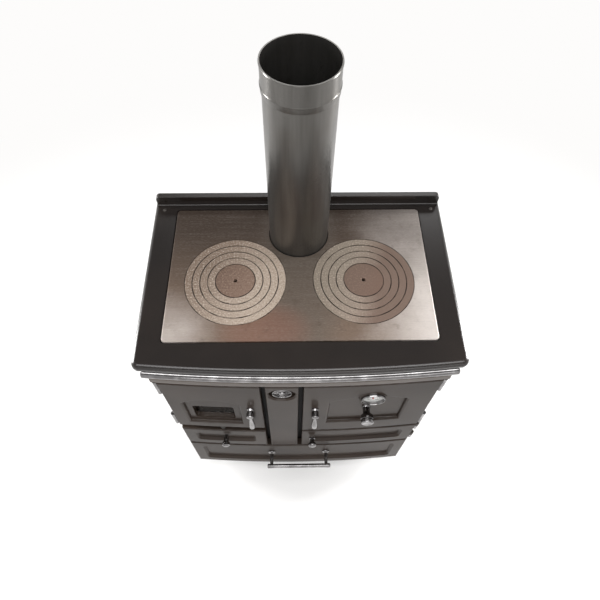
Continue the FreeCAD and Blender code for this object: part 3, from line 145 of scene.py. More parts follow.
def pickFaces(piece, test):  # in edit mode, by each face's middle and normal
    bpy.ops.mesh.select_mode(type="FACE")
    mesh = bmesh.from_edit_mesh(piece.data)
    for face in mesh.faces:
        face.select_set(bool(test(face.calc_center_median(), face.normal)))
    mesh.select_flush_mode()
    bmesh.update_edit_mesh(piece.data)


ways = {"up": Vector((0, 0, 1)), "forward": Vector((0, -1, 0)), "right": Vector((1, 0, 0))}


def turn(name, centre, profile, way="up", sides=96, closed=False):
    # a turned piece, from (along, radius) pairs
    axis = ways[way]
    centre = Vector(centre)
    clearSelection()
    along, radius = profile[0]
    bpy.ops.mesh.primitive_circle_add(
        vertices=sides, radius=radius, fill_type="NOTHING" if closed else "NGON",
        location=centre + axis * along, rotation=axis.to_track_quat("Z", "Y").to_euler())
    piece = bpy.context.object
    piece.name = name
    bpy.ops.object.mode_set(mode="EDIT")
    bpy.ops.mesh.select_mode(type="VERT")
    bpy.ops.mesh.select_all(action="SELECT")
    for (last, lastRadius), (along, radius) in zip(profile, profile[1:]):
        bpy.ops.mesh.extrude_region_move(TRANSFORM_OT_translate={"value": axis * (along - last)})
        size = radius / lastRadius
        bpy.ops.transform.resize(value=[1 if abs(part) > 0.5 else size for part in axis],
                                 center_override=centre + axis * along)
    if closed:
        bpy.ops.mesh.select_all(action="DESELECT")
        bpy.ops.mesh.select_non_manifold()
        bpy.ops.mesh.bridge_edge_loops()
    bpy.ops.mesh.select_all(action="SELECT")
    bpy.ops.mesh.normals_make_consistent(inside=False)
    bpy.ops.object.mode_set(mode="OBJECT")
    return settle(piece)


def shaped(profile, full, reach=1.0):  # (along, share of the radius) pairs at their real size
    return [(along * reach, full * share) for along, share in profile]


def turnAbout(piece, angle, centre):  # round an axis that runs from front to back
    openMesh(piece)
    bpy.ops.transform.rotate(value=angle, orient_axis="Y", center_override=centre)
    return closeMesh(piece)


def block(name, low, high):
    low, high = Vector(low), Vector(high)
    clearSelection()
    bpy.ops.mesh.primitive_cube_add(size=1, location=(low + high) / 2)
    piece = bpy.context.object
    piece.name = name
    piece.scale = high - low
    return settle(piece)


def rod(name, start, end, radius, sides=20):
    start, end = Vector(start), Vector(end)
    clearSelection()
    bpy.ops.mesh.primitive_cylinder_add(
        vertices=sides, radius=radius, depth=(end - start).length, location=(start + end) / 2,
        rotation=(end - start).to_track_quat("Z", "Y").to_euler())
    piece = bpy.context.object
    piece.name = name
    return settle(piece)


def carve(piece, *cutters):
    for cutter in cutters:
        applyModifier(piece, "BOOLEAN", operation="DIFFERENCE", solver="EXACT", object=cutter)
        bpy.data.objects.remove(cutter)
    return piece


def copyPiece(piece, move=(0, 0, 0)):  # a copy with its own mesh
    twin = piece.copy()
    twin.data = piece.data.copy()
    scene.collection.objects.link(twin)
    twin.location = Vector(move)
    return settle(twin)


def castFrom(node, name):  # a merged copy of a CAD node, shaded as a smooth casting
    piece = nodes[node].copy()
    piece.data = nodes[node].data.copy()
    piece.name = name
    piece.parent = None
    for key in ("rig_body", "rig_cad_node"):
        del piece[key]
    scene.collection.objects.link(piece)
    workOn(piece)
    if piece.data.has_custom_normals:
        bpy.ops.mesh.customdata_custom_splitnormals_clear()
    openMesh(piece)
    bpy.ops.mesh.remove_doubles(threshold=0.00001)
    bpy.ops.mesh.dissolve_limited(angle_limit=math.radians(0.05))
    return closeMesh(piece)


def finishPiece(piece, body, finish, slotName, *replaced):
    piece.data.materials.clear()
    piece.data.materials.append(finish)
    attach(piece, body)
    if replaced:
        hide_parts(*replaced)
    return piece


# shader helpers
class Wire:  # a shader socket that maths can be written on
    def __init__(self, tree, socket=None, finish=None):
        self.tree = tree
        self.socket = socket
        self.finish = finish

    def feed(self, socket, item):
        if isinstance(item, Wire):
            self.tree.links.new(item.socket, socket)
        else:
            socket.default_value = item

    def node(self, kind, settings=None, inputs=None, output=0):  # any node, its settings first
        made = self.tree.nodes.new("ShaderNode" + kind)
        for name, setting in (settings or {}).items():
            if name == "stops":
                ramp = made.color_ramp
                ramp.elements[0].position = setting[0][0]
                ramp.elements[-1].position = setting[-1][0]
                for place, _ in setting[1:-1]:
                    ramp.elements.new(place)
                for element, (_, colour) in zip(ramp.elements, setting):
                    element.color = (*colour, 1)
            else:
                setattr(made, name, setting)
        for name, item in (inputs or {}).items():
            self.feed(made.inputs[name], item)
        return Wire(self.tree, made.outputs[output])

    def other(self, output):  # another output of the same node
        return Wire(self.tree, self.socket.node.outputs[output])

    def maths(self, operation, first, second):
        return self.node("Math", {"operation": operation}, {0: first, 1: second})

    def __add__(self, item):
        return self.maths("ADD", self, item)

    def __radd__(self, item):
        return self.maths("ADD", item, self)

    def __sub__(self, item):
        return self.maths("SUBTRACT", self, item)

    def __rsub__(self, item):
        return self.maths("SUBTRACT", item, self)

    def __mul__(self, item):
        return self.maths("MULTIPLY", self, item)

    def __rmul__(self, item):
        return self.maths("MULTIPLY", item, self)

    def __truediv__(self, item):
        return self.maths("DIVIDE", self, item)

    def __pow__(self, item):
        return self.maths("POWER", self, item)

    # what these materials often ask for
    def noise(self, place, scale, detail=3.0, rough=0.55):
        return self.node("TexNoise", None, {
            "Vector": place, "Scale": scale, "Detail": detail, "Roughness": rough})

    def stretch(self, place, amounts):
        return self.node("VectorMath", {"operation": "MULTIPLY"}, {0: place, 1: amounts})

    def ease(self, low, high, start=0.0, end=1.0):  # this value, eased between two limits
        return self.node("MapRange", {"interpolation_type": "SMOOTHSTEP"}, {
            "Value": self, "From Min": low, "From Max": high, "To Min": start, "To Max": end})

    def blend(self, first, second):  # between two colours, by this value
        return self.node("Mix", {"data_type": "RGBA"}, {0: self, 6: first, 7: second}, 2)

    def tones(self, dark, light, low=0.3, high=0.7):  # from one colour to the other
        return self.ease(low, high).blend(dark, light)

    def cells(self, place, scale):  # distance from scattered points
        return self.node("TexVoronoi", {"feature": "F1"}, {"Vector": place, "Scale": scale}, "Distance")

    def apart(self, place):  # x of a place, and others by their name
        return self.node("SeparateXYZ", None, {"Vector": place})

    def bump(self, strength, distance):
        return self.node("Bump", None, {"Strength": strength, "Distance": distance, "Height": self})


def colour(red, green, blue):  # a colour as it is seen, 0 to 255, made linear
    return tuple(((part / 255 + 0.055) / 1.055) ** 2.4 if part > 10 else part / 255 / 12.92
                 for part in (red, green, blue)) + (1.0,)


def newFinish(name, fixed):
    finish = bpy.data.materials.new(name)
    finish.use_nodes = True
    shader = finish.node_tree.nodes["Principled BSDF"]
    for socket, setting in fixed.items():
        shader.inputs[socket].default_value = setting
    start = Wire(finish.node_tree, shader.outputs["BSDF"], finish)
    return start, start.node("TexCoord", output="Object")


def connect(start, **wires):
    names = {"base": "Base Color", "rough": "Roughness", "metal": "Metallic", "normal": "Normal",
             "coat": "Coat Weight"}
    for name, wire in wires.items():
        start.feed(start.socket.node.inputs[names[name]], wire)
    return start.finish


# finishes
plateLook = {
    # polishAndSheen is polished iron lightened into a painted reflection
    "dark": colour(60, 49, 41), "brown": colour(110, 93, 80), "polishAndSheen": colour(228, 220, 214),
    "red": colour(122, 88, 74), "grey": colour(92, 84, 76), "oil": colour(70, 58, 48),
    "streaks": (9.0, 1400.0, 9.0), "drags": (3.0, 110.0, 3.0), "flecks": (130.0, 520.0, 130.0),
    "front": (-0.23, 0.16),                      # how far forward it turns brown
    "between": (0.0, 0.012, 1.0, 0.0),           # the grey strip, by x squared
    "redAcross": 0.085, "redAlong": 0.125, "redSpot": (0.0, 0.0085, 1.0, 0.0),
    # where the polished parts lie, painted lighter as a painted reflection
    "right": (0.12, 0.34), "leftCorner": (0.17, 0.33), "frontCorner": (0.0, 0.14),
}


def groundPlate():
    look = plateLook
    start, place = newFinish("ground_iron_plate", {"Specular IOR Level": 0.35})
    x = start.apart(place)
    y = x.other("Y")
    brushed = start.noise(start.stretch(place, look["streaks"]), 1.0, 4.0, 0.75)
    drag = start.noise(start.stretch(place, look["drags"]), 1.0, 3.0, 0.6)
    patches = start.noise(place, 8.0, 4.0, 0.6)
    stains = start.noise(place, 30.0, 5.0, 0.65)
    sway = patches - 0.5
    front = (sway * 0.10 - y).ease(*look["front"])
    base = front.blend(look["dark"], look["brown"])
    # between the rings the iron is greyer, and redder at the front edge where it has been hot
    between = (x * x + sway * 0.01).ease(*look["between"])
    base = (between * 0.65).blend(base, look["grey"])
    heat = (x + look["redAcross"]) ** 2.0 * 0.5 + (y + look["redAlong"]) ** 2.0 + sway * 0.003
    base = (heat.ease(*look["redSpot"]) * 0.62).blend(base, look["red"])
    # the right and the front left corner are polished, and are also painted lighter as a painted
    # reflection of light from the right rear, more so to the front
    right = (x + sway * 0.12).ease(*look["right"]) * (0.24 + front * 0.62)
    corner = (sway * 0.08 - x).ease(*look["leftCorner"]) * (sway * 0.08 - y).ease(*look["frontCorner"])
    polishAndSheen = start.maths("MAXIMUM", right, corner * 0.52)
    base = polishAndSheen.blend(base, look["polishAndSheen"])
    fleck = start.noise(start.stretch(place, look["flecks"]), 1.0, 3.0, 0.7)
    lighter = (brushed - 0.5) * 0.9 + (fleck - 0.5) * 0.7 + (drag - 0.5) * 0.2
    base = (lighter * (0.45 + polishAndSheen * 0.75)).blend(base, look["polishAndSheen"])
    base = ((0.47 - brushed) * 1.2 + (0.45 - fleck) * 0.9).blend(base, look["dark"])
    base = (stains.ease(0.54, 0.74) * (0.4 - polishAndSheen * 0.25)).blend(base, look["oil"])
    rough = 0.42 + brushed * 0.16 + stains * 0.12 - polishAndSheen * 0.08
    height = brushed * 0.8 + stains * 0.2
    return connect(start, base=base, rough=rough, metal=0.5 + polishAndSheen * 0.2,
                   normal=height.bump(0.3, 0.0002))


# the two nests of rings, whose place the finish follows too
nest = {
    "across": 0.1584, "along": 0.0163, "top": 0.9, "thick": 0.012, "radius": 0.125, "band": 0.019,
    "gap": 0.0008, "seat": 0.006, "sides": 144, "edge": 0.0007,
    "hole": 0.0045, "holeGap": 0.0002, "holeLip": 0.002, "holeDip": 0.0012, "lidEdge": 0.7,
    "marks": 6200.0, "jointShift": 0.008, "jointHalf": 0.0095, "joint": (0.0006, 0.0020, 1.0, 0.0),
    "lidReach": (0.044, 0.047), "jointDark": colour(34, 26, 21),
}


def turnedIron(middle, name, dark, light, speck, warm, warmFrom, warmTo):
    # ring and lid iron: grainy, with fine turning marks round each nest
    start, place = newFinish(name, {"Specular IOR Level": 0.3})
    dark, light, speck, warm = (colour(*tone) for tone in (dark, light, speck, warm))
    x = start.apart(place)
    across = start.maths("ABSOLUTE", x, 0.0) - nest["across"]
    along = x.other("Y") - nest["along"]
    away = start.maths("SQRT", across * across + along * along, 0.0)
    marks = start.maths("SINE", away * nest["marks"], 0.0)
    grain = start.noise(place, 640.0, 3.0, 0.75)
    mottle = start.noise(place, 240.0, 4.0, 0.75)
    cloud = start.noise(place, 22.0, 4.0, 0.6)
    seam = start.maths("PINGPONG", away + nest["jointShift"], nest["jointHalf"])  # how near a joint is
    # painted light: each nest is painted paler to its right and its front, where more light falls on it
    paintedLight = (x - middle - along * 0.6 + (cloud - 0.5) * 0.08).ease(-0.12, 0.12)
    base = paintedLight.blend(dark, light)
    base = (mottle.ease(0.50, 0.66) * 0.75 + (grain - 0.5) * 1.6).blend(base, speck)
    base = mottle.ease(0.32, 0.48, 0.85, 0.0).blend(base, dark)
    warmer = (x + cloud * 0.05 - along * 0.2).ease(warmFrom, warmTo)
    base = (warmer * 0.82).blend(base, warm)
    patchy = start.noise(place, 34.0, 3.0, 0.6)
    # darker in patches near the joints between the rings, outside the lid
    jointDark = seam.ease(*nest["joint"]) * away.ease(*nest["lidReach"]) * patchy.ease(0.34, 0.62, 0.35, 1.0)
    base = jointDark.blend(base, nest["jointDark"])
    rough = 0.5 + grain * 0.2 - mottle * 0.08
    height = grain * 0.6 + marks * 0.12 + mottle * 0.7
    return connect(start, base=base, rough=rough, metal=0.2 + mottle * 0.3,
                   normal=height.bump(0.5, 0.0003))


def enamel(name, dark, light, speck, rough, coat, coatRough, shine):
    start, place = newFinish(name, {
        "Coat Roughness": coatRough, "Coat IOR": 1.7, "Specular IOR Level": shine})
    peel = start.noise(place, 210.0, 2.0, 0.5)
    cloud = start.noise(place, 5.0, 3.0, 0.5)
    dust = start.noise(place, 900.0, 2.0, 0.6)
    base = cloud.tones(colour(*dark), colour(*light))
    base = (dust.ease(0.66, 0.8) * 0.25).blend(base, colour(*speck))
    rough = rough + cloud * 0.08 + dust * 0.05
    return connect(start, base=base, rough=rough, coat=coat + cloud * 0.1,
                   normal=(peel + dust * 0.12).bump(0.12, 0.0004))


def brightMetal(name, look):
    start, place = newFinish(name, {})
    smear = start.noise(place, 26.0, 4.0, 0.6)
    hair = start.noise(start.stretch(place, look["grain"]), 1.0, 3.0, 0.6)
    base = smear.ease(0.35, 0.7).blend(look["dark"], look["light"])
    rough = look["rough"] + smear * look["smear"] + hair * look["hair"]
    return connect(start, base=base, rough=rough, metal=1.0 - smear.ease(0.6, 0.9) * 0.06,
                   normal=(hair * 0.5 + smear * 0.3).bump(look["bump"], 0.0001))


def pipeSteel():
    start, place = newFinish("flue_steel", {"Specular IOR Level": 0.5})
    bands = start.noise(start.stretch(place, (34.0, 34.0, 1.6)), 1.0, 3.0, 0.6)
    grain = start.noise(place, 700.0, 3.0, 0.7)
    cloud = start.noise(place, 9.0, 3.0, 0.5)
    base = bands.tones(colour(86, 84, 81), colour(106, 104, 101))
    base = (cloud.ease(0.5, 0.8) * 0.3).blend(base, colour(92, 86, 79))
    rough = 0.22 + grain * 0.08 + cloud * 0.06
    return connect(start, base=base, rough=rough, metal=0.82 + bands * 0.1,
                   normal=(grain + bands * 0.3).bump(0.08, 0.0002))


def rawIron():
    start, place = newFinish("raw_cast_iron", {"Specular IOR Level": 0.4})
    sand = start.noise(place, 520.0, 4.0, 0.75)
    cloud = start.noise(place, 22.0, 4.0, 0.6)
    rust = start.noise(place, 48.0, 5.0, 0.7)
    base = cloud.tones(colour(52, 50, 48), colour(86, 82, 78))
    base = (rust.ease(0.58, 0.74) * 0.5).blend(base, colour(112, 74, 52))
    return connect(start, base=base, rough=0.58 + sand * 0.25, metal=0.5 - rust.ease(0.55, 0.75) * 0.4,
                   normal=(sand + cloud * 0.4).bump(0.6, 0.0005))


def sheetSteel():
    start, place = newFinish("mild_steel_sheet", {})
    rolled = start.noise(start.stretch(place, (6.0, 160.0, 6.0)), 1.0, 4.0, 0.6)
    cloud = start.noise(place, 12.0, 4.0, 0.55)
    stain = start.noise(place, 38.0, 5.0, 0.65)
    base = (cloud * 0.7 + rolled * 0.3).ease(0.35, 0.65)
    base = base.blend(colour(112, 112, 114), colour(158, 158, 160))
    stained = stain.ease(0.56, 0.76) * 0.4
    base = stained.blend(base, colour(104, 92, 82))
    return connect(start, base=base, rough=0.36 + cloud * 0.18, metal=0.85 - stained,
                   normal=(rolled + cloud * 0.3).bump(0.12, 0.0002))


def ovenLining():
    # speckled vitreous enamel inside the ovens
    start, place = newFinish("speckled_oven_enamel", {"Coat Roughness": 0.12})
    specks = start.cells(place, 330.0)
    spread = start.noise(place, 90.0, 3.0, 0.6)
    cloud = start.noise(place, 7.0, 3.0, 0.5)
    flecks = specks.ease(0.10, 0.22, 1.0, 0.0) * spread.ease(0.42, 0.6)
    base = cloud.tones(colour(38, 38, 42), colour(52, 52, 56))
    base = flecks.blend(base, colour(168, 170, 172))
    return connect(start, base=base, rough=0.28 + cloud * 0.12, coat=0.4 + cloud * 0.1,
                   normal=spread.bump(0.08, 0.0003))


def brickClay():
    start, place = newFinish("fired_brick", {"Specular IOR Level": 0.2})
    pits = start.cells(place, 260.0)
    sand = start.noise(place, 380.0, 4.0, 0.7)
    soot = start.noise(place, 12.0, 4.0, 0.6)
    high = start.apart(place).other("Z")
    base = sand.ease(0.35, 0.65).blend(colour(196, 172, 134), colour(222, 204, 168))
    sooty = (soot + high.ease(0.48, 0.66) * 0.25).ease(0.45, 0.8)
    base = (sooty * 0.75).blend(base, colour(64, 56, 50))
    return connect(start, base=base, rough=0.82 + sand * 0.12,
                   normal=(sand * 0.6 + pits.ease(0.05, 0.2)).bump(0.5, 0.0008))


def windowGlass():
    start, place = newFinish("window_glass", {"Transmission Weight": 1.0, "IOR": 1.46})
    film = start.noise(place, 9.0, 4.0, 0.6)
    base = film.ease(0.4, 0.75).blend((0.86, 0.84, 0.80, 1), (0.45, 0.38, 0.30, 1))
    return connect(start, base=base, rough=0.02 + film.ease(0.5, 0.8) * 0.12)


def dialPaint():
    start, place = newFinish("dial_face_paint", {"Coat Weight": 0.2})
    silk = start.noise(place, 1500.0, 2.0, 0.6)
    cloud = start.noise(place, 60.0, 3.0, 0.5)
    base = cloud.tones(colour(206, 206, 204), colour(228, 228, 225))
    return connect(start, base=base, rough=0.34 + silk * 0.12, metal=0.25 + cloud * 0.1,
                   normal=silk.bump(0.05, 0.0001))


def markPaint(name, dark, light):
    start, place = newFinish(name, {})
    cloud = start.noise(place, 300.0, 3.0, 0.5)
    return connect(start, base=cloud.tones(dark, light), rough=0.38 + cloud * 0.12,
                   normal=cloud.bump(0.05, 0.0001))


def wovenRope():
    start, place = newFinish("glass_fibre_rope", {"Specular IOR Level": 0.15})
    x = start.apart(place)
    z = x.other("Z")
    strands = 1500.0
    weave = start.maths("SINE", (x + z) * strands, 0.0) * start.maths("SINE", (x - z) * strands, 0.0)
    fluff = start.noise(place, 700.0, 3.0, 0.7)
    base = (weave * 0.4 + 0.5).blend(colour(148, 142, 130), colour(206, 202, 192))
    base = (fluff.ease(0.55, 0.75) * 0.3).blend(base, colour(120, 112, 100))
    return connect(start, base=base, rough=0.85 + fluff * 0.1,
                   normal=(weave + fluff * 0.5).bump(0.7, 0.0008))


irons = {
    # the name, then dark, light (the painted shaded and lit sides of each nest), speck and warm, and
    # where the warm tone starts and ends
    "leftRings": ("ring_iron_left", (112, 95, 82), (162, 147, 133), (196, 184, 171), (128, 118, 108),
                  0.4, 0.5),
    "leftLid": ("lid_iron_left", (90, 71, 60), (124, 102, 89), (148, 130, 116), (96, 84, 76),
                0.4, 0.5),
    "rightRings": ("ring_iron_right", (120, 110, 98), (140, 124, 112), (172, 158, 146), (100, 81, 71),
                   0.165, 0.235),
    "rightLid": ("lid_iron_right", (98, 81, 71), (108, 88, 77), (126, 107, 95), (104, 83, 72),
                 0.17, 0.25),
}
enamels = {
    # the name, then dark, light, speck, roughness, coat, its roughness, and the shine under it
    "enamel": ("dark_enamel", (21, 15, 12), (29, 22, 18), (46, 38, 33),
               0.40, 0.62, 0.26, 0.05),
    "doorEnamel": ("door_enamel", (47, 39, 34), (57, 48, 42), (72, 63, 57),
                   0.36, 0.12, 0.12, 0.05),
    # painted light: the header ledge is a lighter copy of the door enamel, painted lighter where its
    # sloping face catches the light
    "headerLitEnamel": ("header_enamel_painted_lit", (70, 59, 52), (82, 70, 62), (96, 84, 76),
                     0.34, 0.3, 0.1, 0.12),
    # painted shade: the front plate below the header, seen in the gaps between the doors and the pillar,
    # is painted near black for the deep shade there
    "shadeBlack": ("painted_shade_black", (14, 12, 11), (22, 19, 18), (36, 33, 31),
                   0.55, 0.0, 0.3, 0.05),
    "panelEnamel": ("panel_enamel", (38, 33, 31), (47, 42, 39), (66, 60, 56),
                    0.36, 0.15, 0.25, 0.2),
}
looks = {
    "plate": groundPlate(),
    **{look: turnedIron(-nest["across"] if "left" in look else nest["across"], *row)
       for look, row in irons.items()},
    **{look: enamel(*row) for look, row in enamels.items()},
    # painted shade: the chrome's colours are painted darker than bright chrome, standing in for dark
    # surroundings in its reflection
    "chrome": brightMetal("polished_chrome_painted_dark", {
        "dark": colour(112, 110, 110), "light": colour(156, 154, 154), "grain": (60.0, 60.0, 60.0),
        "rough": 0.07, "smear": 0.10, "hair": 0.03, "bump": 0.04}),
    "zinc": brightMetal("zinc_plate", {
        "dark": colour(140, 138, 132), "light": colour(186, 184, 176), "grain": (220.0, 220.0, 220.0),
        "rough": 0.28, "smear": 0.2, "hair": 0.1, "bump": 0.15}),
    "flue": pipeSteel(),
    "iron": rawIron(),
    "steel": sheetSteel(),
    "oven": ovenLining(),
    "brick": brickClay(),
    "glass": windowGlass(),
    "dial": dialPaint(),
    "black": markPaint("black_mark_paint", colour(18, 18, 18), colour(30, 30, 30)),
    "red": markPaint("red_needle_paint", colour(150, 22, 16), colour(176, 34, 24)),
    "rope": wovenRope(),
}
print("the finishes are made")

# castings and sheets that keep the CAD's own shape
castings = (
    # look, slot, softened edge, nodes
    ("plate", "ground_iron", 0, "hotplate"),
    ("enamel", "enamel", 0, "hob_surround rear_upstand"),
    # painted shade: the front plate is painted near black below the header
    ("shadeBlack", "enamel", 0, "front_plate"),
    ("doorEnamel", "enamel", 0,
     "centre_pillar firebox_door_frame oven_door_panel warming_door_panel "
     "drawer_front"),
    ("panelEnamel", "enamelled_panel", 0, "base_frame side_panel_left side_panel_right back_panel"),
    ("iron", "ground_iron", 0.0008, "flue_collar"),
    ("steel", "steel", 0, "smoke_shelf"),
    ("iron", "ground_iron", 0.0008, "fire_grate"),
    ("iron", "ground_iron", 0, "riddling_grate"),
    ("iron", "steel", 0, "firebox_shell"),
    ("steel", "steel", 0, "ash_tunnel"),
    ("oven", "steel", 0, "oven_box warming_box"),
    ("oven", "steel", 0.0015, "oven_door_liner"),
    ("steel", "steel", 0, "ash_pan drawer_box"),
    ("zinc", "steel", 0.0005, "drawer_runners"),
    ("glass", "window_glass", 0, "firebox_door_glass"),
    ("zinc", "steel", 0.0004, "glass_clips"),
    ("chrome", "chrome", 0.0006, "firebox_door_hinges oven_door_hinges hinge_pintles"),
    ("rope", "rope", 0, "firebox_door_seal oven_door_seal warming_door_seal"),
)
headerFoot = 0.8115  # above it the front plate is the header
bodies = frame["record"]["behaviour"]["bodies"]
bodyOf = {node: body for body, members in bodies.items() for node in members}

for look, slotName, edge, members in castings:
    for node in members.split():
        piece = castFrom(node, node + "_finished")
        if edge:
            softenEdges(piece, edge)
        else:
            smoothShade(piece, 32)
        finishPiece(piece, bodyOf[node], looks[look], slotName, node)
frontPlate = bpy.data.objects["front_plate_finished"]
# the header of the front plate takes the painted-lit enamel
frontPlate.data.materials.append(looks["headerLitEnamel"])
# faces below the header keep the painted-shade black
for face in frontPlate.data.polygons:
    face.material_index = int(face.center.z > headerFoot)
print("the castings and sheets are finished")

# rings and lids
def ringPiece(name, centre, outer, inner):
    half, step = -nest["thick"] / 2, nest["seat"] + nest["gap"]
    piece = turn(name, centre, [
        (0, inner), (0, outer), (half, outer), (half, outer - step), (-nest["thick"], outer - step),
        (-nest["thick"], inner - nest["seat"]), (half, inner - nest["seat"]), (half, inner),
    ], sides=nest["sides"], closed=True)
    return softenEdges(piece, nest["edge"])


def lidPiece(name, centre, outer):
    half, step, hole = -nest["thick"] / 2, nest["seat"] + nest["gap"], nest["hole"] + nest["holeGap"]
    piece = turn(name, centre, [
        (-nest["holeDip"], hole), (0, nest["hole"] + nest["holeLip"]), (0, outer), (half, outer),
        (half, outer - step), (-nest["thick"], outer - step), (-nest["thick"], hole),
    ], sides=nest["sides"], closed=True)
    return softenEdges(piece, nest["edge"] * nest["lidEdge"])


for side, sign in (("left", -1), ("right", 1)):
    centre = (sign * nest["across"], nest["along"], nest["top"])
    for number in range(1, 5):
        outer = nest["radius"] - (number - 1) * nest["band"]
        inner = nest["radius"] - number * nest["band"] + nest["gap"]
        look = side + "Rings"
        name = f"{side}_ring_{number}"
        piece = ringPiece(name + "_turned", centre, outer, inner)
        finishPiece(piece, name, looks[look], "ground_iron", name)
    name = f"{side}_ring_lid"
    look = side + "Lid"
    lid = lidPiece(name + "_turned", centre, nest["radius"] - 4 * nest["band"])
    finishPiece(lid, name, looks[look], "ground_iron", name)
print("the rings are made")

# the flue pipe
pipe = {
    "along": 0.1625, "radius": 0.075, "wall": 0.002, "foot": 0.816, "shoulder": 1.34, "top": 1.4,
    "socket": 0.0753, "sides": 128, "slope": 0.004, "bead": 0.0012, "lipShare": 0.6,
    "ring": (0.010, 0.0115, 0.0145, 0.016), "lip": (0.003, 0.0022),
    "seam": 0.0022, "seamDeep": 0.001, "seamProud": 0.0009, "seamFoot": 0.07, "seamTop": 0.006,
    "seamEdge": 0.0008,
}


def makePipe():
    outer, inner, socket = pipe["radius"], pipe["radius"] - pipe["wall"], pipe["socket"]
    rise, top = pipe["shoulder"], pipe["top"]
    belled, beaded = socket + pipe["wall"], socket + pipe["wall"] + pipe["bead"]
    first, second, third, fourth = (rise + step for step in pipe["ring"])
    tube = turn("flue_tube", (0, pipe["along"], 0), [
        (pipe["foot"], inner), (pipe["foot"], outer), (rise - pipe["slope"], outer), (rise, belled),
        (first, belled), (second, beaded), (third, beaded), (fourth, belled),
        (top - pipe["lip"][0], belled), (top - pipe["lip"][1], beaded),
        (top, belled + pipe["bead"] * pipe["lipShare"]), (top, socket), (rise, socket),
        (rise - pipe["slope"], inner),
    ], sides=pipe["sides"], closed=True)
    smoothShade(tube, 50)
    back = pipe["along"] + outer
    seam = block("flue_seam", (-pipe["seam"], back - pipe["seamDeep"], pipe["foot"] + pipe["seamFoot"]),
                 (pipe["seam"], back + pipe["seamProud"], rise - pipe["seamTop"]))
    softenEdges(seam, pipe["seamEdge"])
    return joinPieces("flue_pipe_made", [tube, seam])


finishPiece(makePipe(), "range_body", looks["flue"], "flue_steel", "flue_pipe")
print("the flue is made")

def flangedPost(name, centre, look, stem, sides):
    wide = look["flange"]
    flat, lip = look["flangeRise"]
    foot = [(0, wide), (flat, wide), (lip, wide * look["flangeLip"])]
    return softenEdges(turn(name, centre, foot + stem, way="forward", sides=sides), look["edge"])


# the rail under the edge of the hob
rail = {
    "radius": 0.012, "half": 0.369, "height": 0.855, "sides": 40, "steps": 56, "end": 0.004,
    "spacing": 0.320, "post": 0.006, "into": 0.9, "clear": 0.0007, "edge": 0.0005,
    "flange": 0.0105, "flangeRise": (0.0025, 0.004), "flangeLip": 0.82, "root": 0.005,
}


def makeRail():
    reach = bow["radius"] - bow["rail"]
    tilt = math.asin(rail["half"] / reach)
    clearSelection()
    bpy.ops.mesh.primitive_circle_add(
        vertices=rail["sides"], radius=rail["radius"], fill_type="NGON",
        location=(-rail["half"], bowY(rail["half"], bow["rail"]), rail["height"]),
        rotation=(0, math.pi / 2, -tilt))
    piece = bpy.context.object
    openMesh(piece)
    bpy.ops.mesh.spin(steps=rail["steps"], angle=-2 * tilt, axis=(0, 0, 1),
                      center=(0, bow["centre"], rail["height"]))
    bpy.ops.mesh.select_all(action="SELECT")
    bpy.ops.mesh.remove_doubles(threshold=0.00001)
    bpy.ops.mesh.normals_make_consistent(inside=False)
    settle(closeMesh(piece))
    softenEdges(piece, rail["end"], 4, 60)
    piece.name = "rail_bar_made"
    return piece


def makeRailPosts():
    posts = []
    for number in (-1, 0, 1):
        across = number * rail["spacing"]
        start = bowY(across, bow["facia"]) - rail["clear"]
        reach = start - bowY(across, bow["rail"]) - rail["radius"] * rail["into"]
        posts.append(flangedPost("rail_post", (across, start, rail["height"]), rail,
                                 [(rail["root"], rail["post"]), (reach, rail["post"])], rail["sides"]))
    return joinPieces("rail_posts_made", posts)


finishPiece(makeRail(), "range_body", looks["chrome"], "chrome", "rail_bar")
finishPiece(makeRailPosts(), "range_body", looks["chrome"], "chrome", "rail_posts")
print("the rail is made")

# the two slotted screws at the rear of the deck
screw = {
    "across": 0.3585, "along": 0.2455, "height": 0.898, "radius": 0.0045, "rise": 0.0018, "deep": 0.004,
    "shank": 0.5, "slotWide": 0.16, "slotDeep": 0.5,
    "dome": [(0.35, 0.98), (0.75, 0.78), (1, 0.45)],  # (share of the rise, share of the radius)
}


def slottedScrew(sign):
    centre = Vector((sign * screw["across"], screw["along"], screw["height"]))
    full, rise = screw["radius"], screw["rise"]
    shank = full * screw["shank"]
    head = turn("deck_screw", centre, [
        (-screw["deep"], shank), (0, shank), (0, full)] + shaped(screw["dome"], full, rise), sides=32)
    middle = centre + ways["up"] * rise
    span = Vector((full, full * screw["slotWide"], rise * screw["slotDeep"]))
    carve(head, block("screw_slot", middle - span, middle + span))
    return smoothShade(head, 40)


screws = [slottedScrew(sign) for sign in (-1, 1)]
finishPiece(joinPieces("surround_screws_made", screws), "range_body", looks["iron"], "chrome",
            "surround_screws")

# the air wheel
wheel = {
    "across": -0.046, "height": 0.757, "seat": -0.218, "radius": 0.026, "spindle": 0.005, "behind": 0.047,
    "plate": (0.0006, 0.003), "plateShare": 0.9, "plateEdge": 0.0004,
    # (forward, share of the radius)
    "rim": [(0.0006, 0.84), (0.0006, 1), (0.0055, 1), (0.0078, 0.965), (0.0085, 0.92), (0.0078, 0.875),
            (0.0055, 0.84)],
    "ring": [(0.002, 0.50), (0.002, 0.60), (0.0055, 0.58), (0.0062, 0.55), (0.0055, 0.52)],
    "nut": [(0.002, 0.32), (0.006, 0.32), (0.008, 0.28), (0.0105, 0.16), (0.0115, 0.05)],
    "spokes": 6, "spokeFrom": 0.28, "spokeTo": 0.86, "spokeHalf": 0.0016, "spokeBack": 0.0022,
    "spokeFront": 0.0052, "spokeEdge": 0.0007,
}


